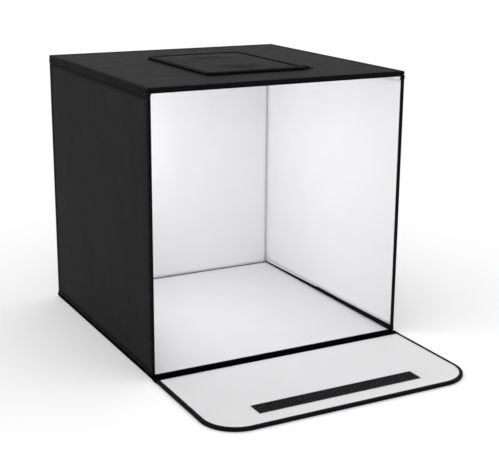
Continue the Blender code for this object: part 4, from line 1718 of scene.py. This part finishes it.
    def u_strip(self, node: str, name: str, body: str, shown: int, finishes: Finishes) -> None:
        """A U of fastener tape: a flat rounded section carried round three sides."""
        low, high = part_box(node)
        ring = Outline(low[:2], high[:2], self.strip_corner, (56, 74, 14), Opening.RIGHT)
        width, lip = self.strip_width, 0.00025
        insets = (0, 0, lip, width / 2, width - lip, width, width, width - lip, lip)
        shares = (0.4, 0.8, 1, 1, 1, 0.8, 0.4, 0, 0)
        back, thick = (low.z, high.z - low.z) if shown > 0 else (high.z, low.z - high.z)
        rows = [
            joined(*ring.at(inset).T, back + share * thick) for inset, share in zip(insets, shares)
        ]
        piece = band_object(name, np.array(rows), finishes.fastener)
        attach(piece, body, Slot.HOOK, node)

    def hinge(self, finishes: Finishes) -> None:
        """The cloth hinge: one sheet that leaves the cover's edge and slopes down onto the top.

        Its height over the top is the cover's, brought down by a smooth step of the
        distance past the cover's edge, and it thins out towards both ends.
        """
        low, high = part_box("window_hinge_strip")
        before, after = self.hinge_reach
        start, edge, end = low.x - self.edge_flange, low.x - before, high.x + after
        x = np.concatenate([np.linspace(start, edge, 6)[:-1], np.linspace(edge, end, 22)])
        y = stations(low.y + self.clear, high.y - self.clear, 0.004)
        p, q = np.meshgrid(x, y)
        foot, crown = low.z + self.clear, self.high.z + self.hinge_over
        fall = smooth((p - edge) / (end - edge))
        rim = smooth(np.minimum(q - y[0], y[-1] - q) / 0.006) * smooth((p - start) / 0.004)
        z = foot + (crown - foot) * (1 - fall) - 0.0004 * (1 - rim) * (1 - fall)
        name, points, thick = "window_hinge_cloth", joined(p, q, z), self.hinge_cloth
        piece = sheet_object(name, points, points[..., :2], UP, thick, finishes.cloth)
        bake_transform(piece)
        stand_for(piece, Slot.OUTER, "window_hinge_strip")
        middle = z[len(y) // 2]
        seam = high.x - self.hinge_seam
        line = joined(seam, y, np.interp(seam, x, middle))
        stitches = stitch_object("window_hinge_stitches", [(line, UP)], finishes.thread)
        attach(stitches, "top", Slot.BINDING)

    def build(self, finishes: Finishes) -> None:
        """Make the cover and what fastens it."""
        name, facing = "window_cover_edge", Facing.skyward(self.high.z)
        profile = self.edge_profile()
        edge = edge_ring(name, facing, self.outline, profile, finishes.tape, 71)
        attach(edge, "window_cover", Slot.BINDING, "window_cover_binding")
        self.pad(finishes)
        self.u_strip("window_cover_hook_tape", "window_cover_hooks", "window_cover", -1, finishes)
        self.u_strip("window_loop_tape", "window_loops", "top", 1, finishes)
        self.hinge(finishes)
        line = facing.place(*self.outline.seam(self.edge_flange - 0.0015).T, 0.0001)
        name = "window_cover_stitches"
        stitches = stitch_object(name, [(line, UP)], finishes.thread, 0.003)
        attach(stitches, "window_cover", Slot.BINDING)
        self.lining(finishes)

    def lining(self, finishes: Finishes) -> None:
        """The cover's lining: a thin white cloth with round corners under the pad."""
        low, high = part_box("window_cover_lining")
        start, end = shrunk(low[:2], high[:2], self.lining_inset)
        p, q = np.meshgrid(*(stations(*ends, 0.004) for ends in zip(start, end)))
        p, q = rounded(p, q, start, end, self.corner)
        relief = Relief(low[:2], high[:2], 83, sink=0.0001, wave=0.00008)
        points = joined(p, q, low.z + 0.0001 - relief.at(p, q))
        name, thick = "window_cover_inner_cloth", self.lining_cloth
        piece = sheet_object(name, points, points[..., :2], -UP, thick, finishes.lining)
        attach(piece, "window_cover", Slot.LINING, "window_cover_lining")


@dataclass
class LightBar:
    """A light bar under the top: the CAD shapes, each with its own finish."""

    name: str = "front_bar"

    def build(self, finishes: Finishes) -> None:
        """Finish the bar's five nodes."""
        low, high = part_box(f"{self.name}_channel")
        strip = EmitterStrip(f"{self.name}_emitters", (low.y + high.y) / 2).build()
        looks = {
            "channel": finishes.metal,
            "diffuser": finishes.diffuser,
            "light_strip": strip,
            "inlet": finishes.plastic,
            "end_cap": finishes.plastic,
        }
        for part, material in looks.items():
            dress_node(f"{self.name}_{part}", material)


# Studio


@dataclass(frozen=True)
class Lamp:
    """A rectangular lamp that looks at a point."""

    name: str
    place: Point
    aim: Point
    size: Pair
    power: float

    def build(self) -> None:
        """Make the lamp and turn it: its back looks away from the point, its long side is level."""
        data = bpy.data.lights.new(self.name, "AREA")
        data.shape, data.size, data.size_y, data.energy = "RECTANGLE", *self.size, self.power
        lamp = bpy.data.objects.new(self.name, data)
        way = np.array(self.aim) - np.array(self.place)
        side = np.cross(way, UP)
        back, side = -way / np.linalg.norm(way), side / np.linalg.norm(side)
        turn = np.stack([side, np.cross(back, side), back], 1)
        lamp.matrix_world = Matrix.Translation(self.place) @ Matrix(turn.tolist()).to_4x4()
        lamp.visible_camera = False
        bpy.context.scene.collection.objects.link(lamp)


@dataclass
class Studio:
    """White floor, soft light and a camera at the photograph's angle."""

    camera_place: Point = (-0.7489, -1.5053, 0.6083)
    camera_turn: Point = (0.2659, -0.4869, -0.0586)
    focal_pixels: float = 1113.59
    floor_half: float = 12.0
    floor_drop: float = 0.0003
    floor_tone: Point = (0.78, 0.78, 0.78)
    floor_glow: float = 0.09
    world_power: float = 0.92
    lamps: tuple[Lamp, ...] = (
        Lamp("front_left_softbox", (-1.5, -2.9, 1.0), (0.0, 0.0, 0.2), (1.4, 1.4), 18.0),
        Lamp("inside_glow", (-0.18, 0.0, 0.26), (0.20, 0.0, 0.26), (0.30, 0.20), 0.70),
    )

    def camera(self) -> None:
        """Place the camera by its turn vector: the rotation by the vector's length round it."""
        angle = float(np.linalg.norm(self.camera_turn))
        x, y, z = np.array(self.camera_turn) / angle
        cross = np.array([[0, -z, y], [z, 0, -x], [-y, x, 0]])
        turn = np.eye(3) + math.sin(angle) * cross + (1 - math.cos(angle)) * cross @ cross
        level = np.array([[1, 0, 0], [0, 0, -1], [0, 1, 0]], float)
        to_world = Matrix(((turn @ level).T @ np.diag([1.0, -1.0, -1.0])).tolist())
        data = bpy.data.cameras.new("camera")
        data.sensor_width = 36.0
        data.lens = self.focal_pixels * data.sensor_width / IMAGE_WIDTH
        camera = bpy.data.objects.new("camera", data)
        camera.matrix_world = Matrix.Translation(self.camera_place) @ to_world.to_4x4()
        bpy.context.scene.collection.objects.link(camera)
        bpy.context.scene.camera = camera

    def world(self) -> None:
        """Even pale light from all round, and plain white behind the tent."""
        world = bpy.data.worlds.new("studio")
        world.use_nodes = True
        tree = world.node_tree
        light, white = tree.nodes["Background"], tree.nodes.new("ShaderNodeBackground")
        for node, power in ((light, self.world_power), (white, 1.0)):
            node.inputs["Color"].default_value = (1.0, 1.0, 1.0, 1.0)
            node.inputs["Strength"].default_value = power
        mix, path = tree.nodes.new("ShaderNodeMixShader"), tree.nodes.new("ShaderNodeLightPath")
        sources = (path.outputs["Is Camera Ray"], light.outputs[0], white.outputs[0])
        for source, socket in zip(sources, mix.inputs):
            tree.links.new(source, socket)
        tree.links.new(mix.outputs[0], tree.nodes["World Output"].inputs["Surface"])
        bpy.context.scene.world = world

    def floor(self) -> None:
        """A white floor, a grid of quads just under the tent.

        To the camera it is plain white and glows a little. To reflections it is white,
        and to all other light it is a shade darker.
        """
        s = Shading("studio_white")
        path = s.put("ShaderNodeLightPath").outputs
        seen = s.math("MAXIMUM", path["Is Camera Ray"], path["Is Glossy Ray"])
        sockets = {
            "Base Color": s.colours(seen, self.floor_tone, (1.0, 1.0, 1.0)),
            "Roughness": 0.9,
            "Specular IOR Level": 0.1,
            "Emission Color": (1.0, 1.0, 1.0, 1.0),
            "Emission Strength": s.math("MULTIPLY", path["Is Camera Ray"], self.floor_glow),
        }
        for name, value in sockets.items():
            s.feed(s.shader.inputs[name], value)
        places = np.linspace(-self.floor_half, self.floor_half, 9)
        p, q = np.meshgrid(places, places)
        numbers, _ = grid_faces(9, 9, False, False)
        points = joined(p, q, -self.floor_drop)
        floor = make_object("studio_floor", points, numbers.tolist(), None, s.material)

    def build(self) -> None:
        """Make the studio."""
        self.camera()
        for lamp in self.lamps:
            lamp.build()
        self.world()
        self.floor()
        bpy.context.scene.view_settings.view_transform = "Standard"


@dataclass
class Tent:
    """The whole tent in building order."""

    parts: list = field(default_factory=list)

    def plan(self) -> None:
        """List every sub-assembly."""
        up = Facing.skyward(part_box("top_binding")[1].z)
        back_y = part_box("back_binding")[1].y
        rearward = Facing(origin=(0, back_y, 0), up=(0, 0, 1), out=(0, 1, 0))
        self.parts = [
            # The floor's tape is the darker copy, with painted shade.
            FlatPanel(name="floor", inner=0.0056, shaded_tape=True, seed=40),
            *(Gusset(node=f"floor_gusset_{s.word}", body="floor") for s in Side),
            *(SideWall(side=s) for s in Side),
            FlatPanel(
                name="back", facing=rearward, inner=0.002, lining_out=0.0002, fold=0.0004, seed=44
            ),
            *(Gusset(node=f"top_gusset_{s.word}", body="top") for s in Side),
            TopPanel(name="top", facing=up, fold=0.0005, seed=48),
            WindowCover(),
            LightBar("front_bar"),
            LightBar("rear_bar"),
            Flap(name="flap", inner=0.005, seed=52),
        ]

    def build(self, finishes: Finishes) -> None:
        """Build every sub-assembly in turn."""
        self.plan()
        for part in self.parts:
            LOG.info("building %s", type(part).__name__)
            part.build(finishes)


def main() -> None:
    """Build the studio and the tent."""
    logging.basicConfig(level=logging.INFO, format="%(name)s: %(message)s")
    Studio().build()
    Tent().build(Finishes())


if __name__ == "__main__":
    main()
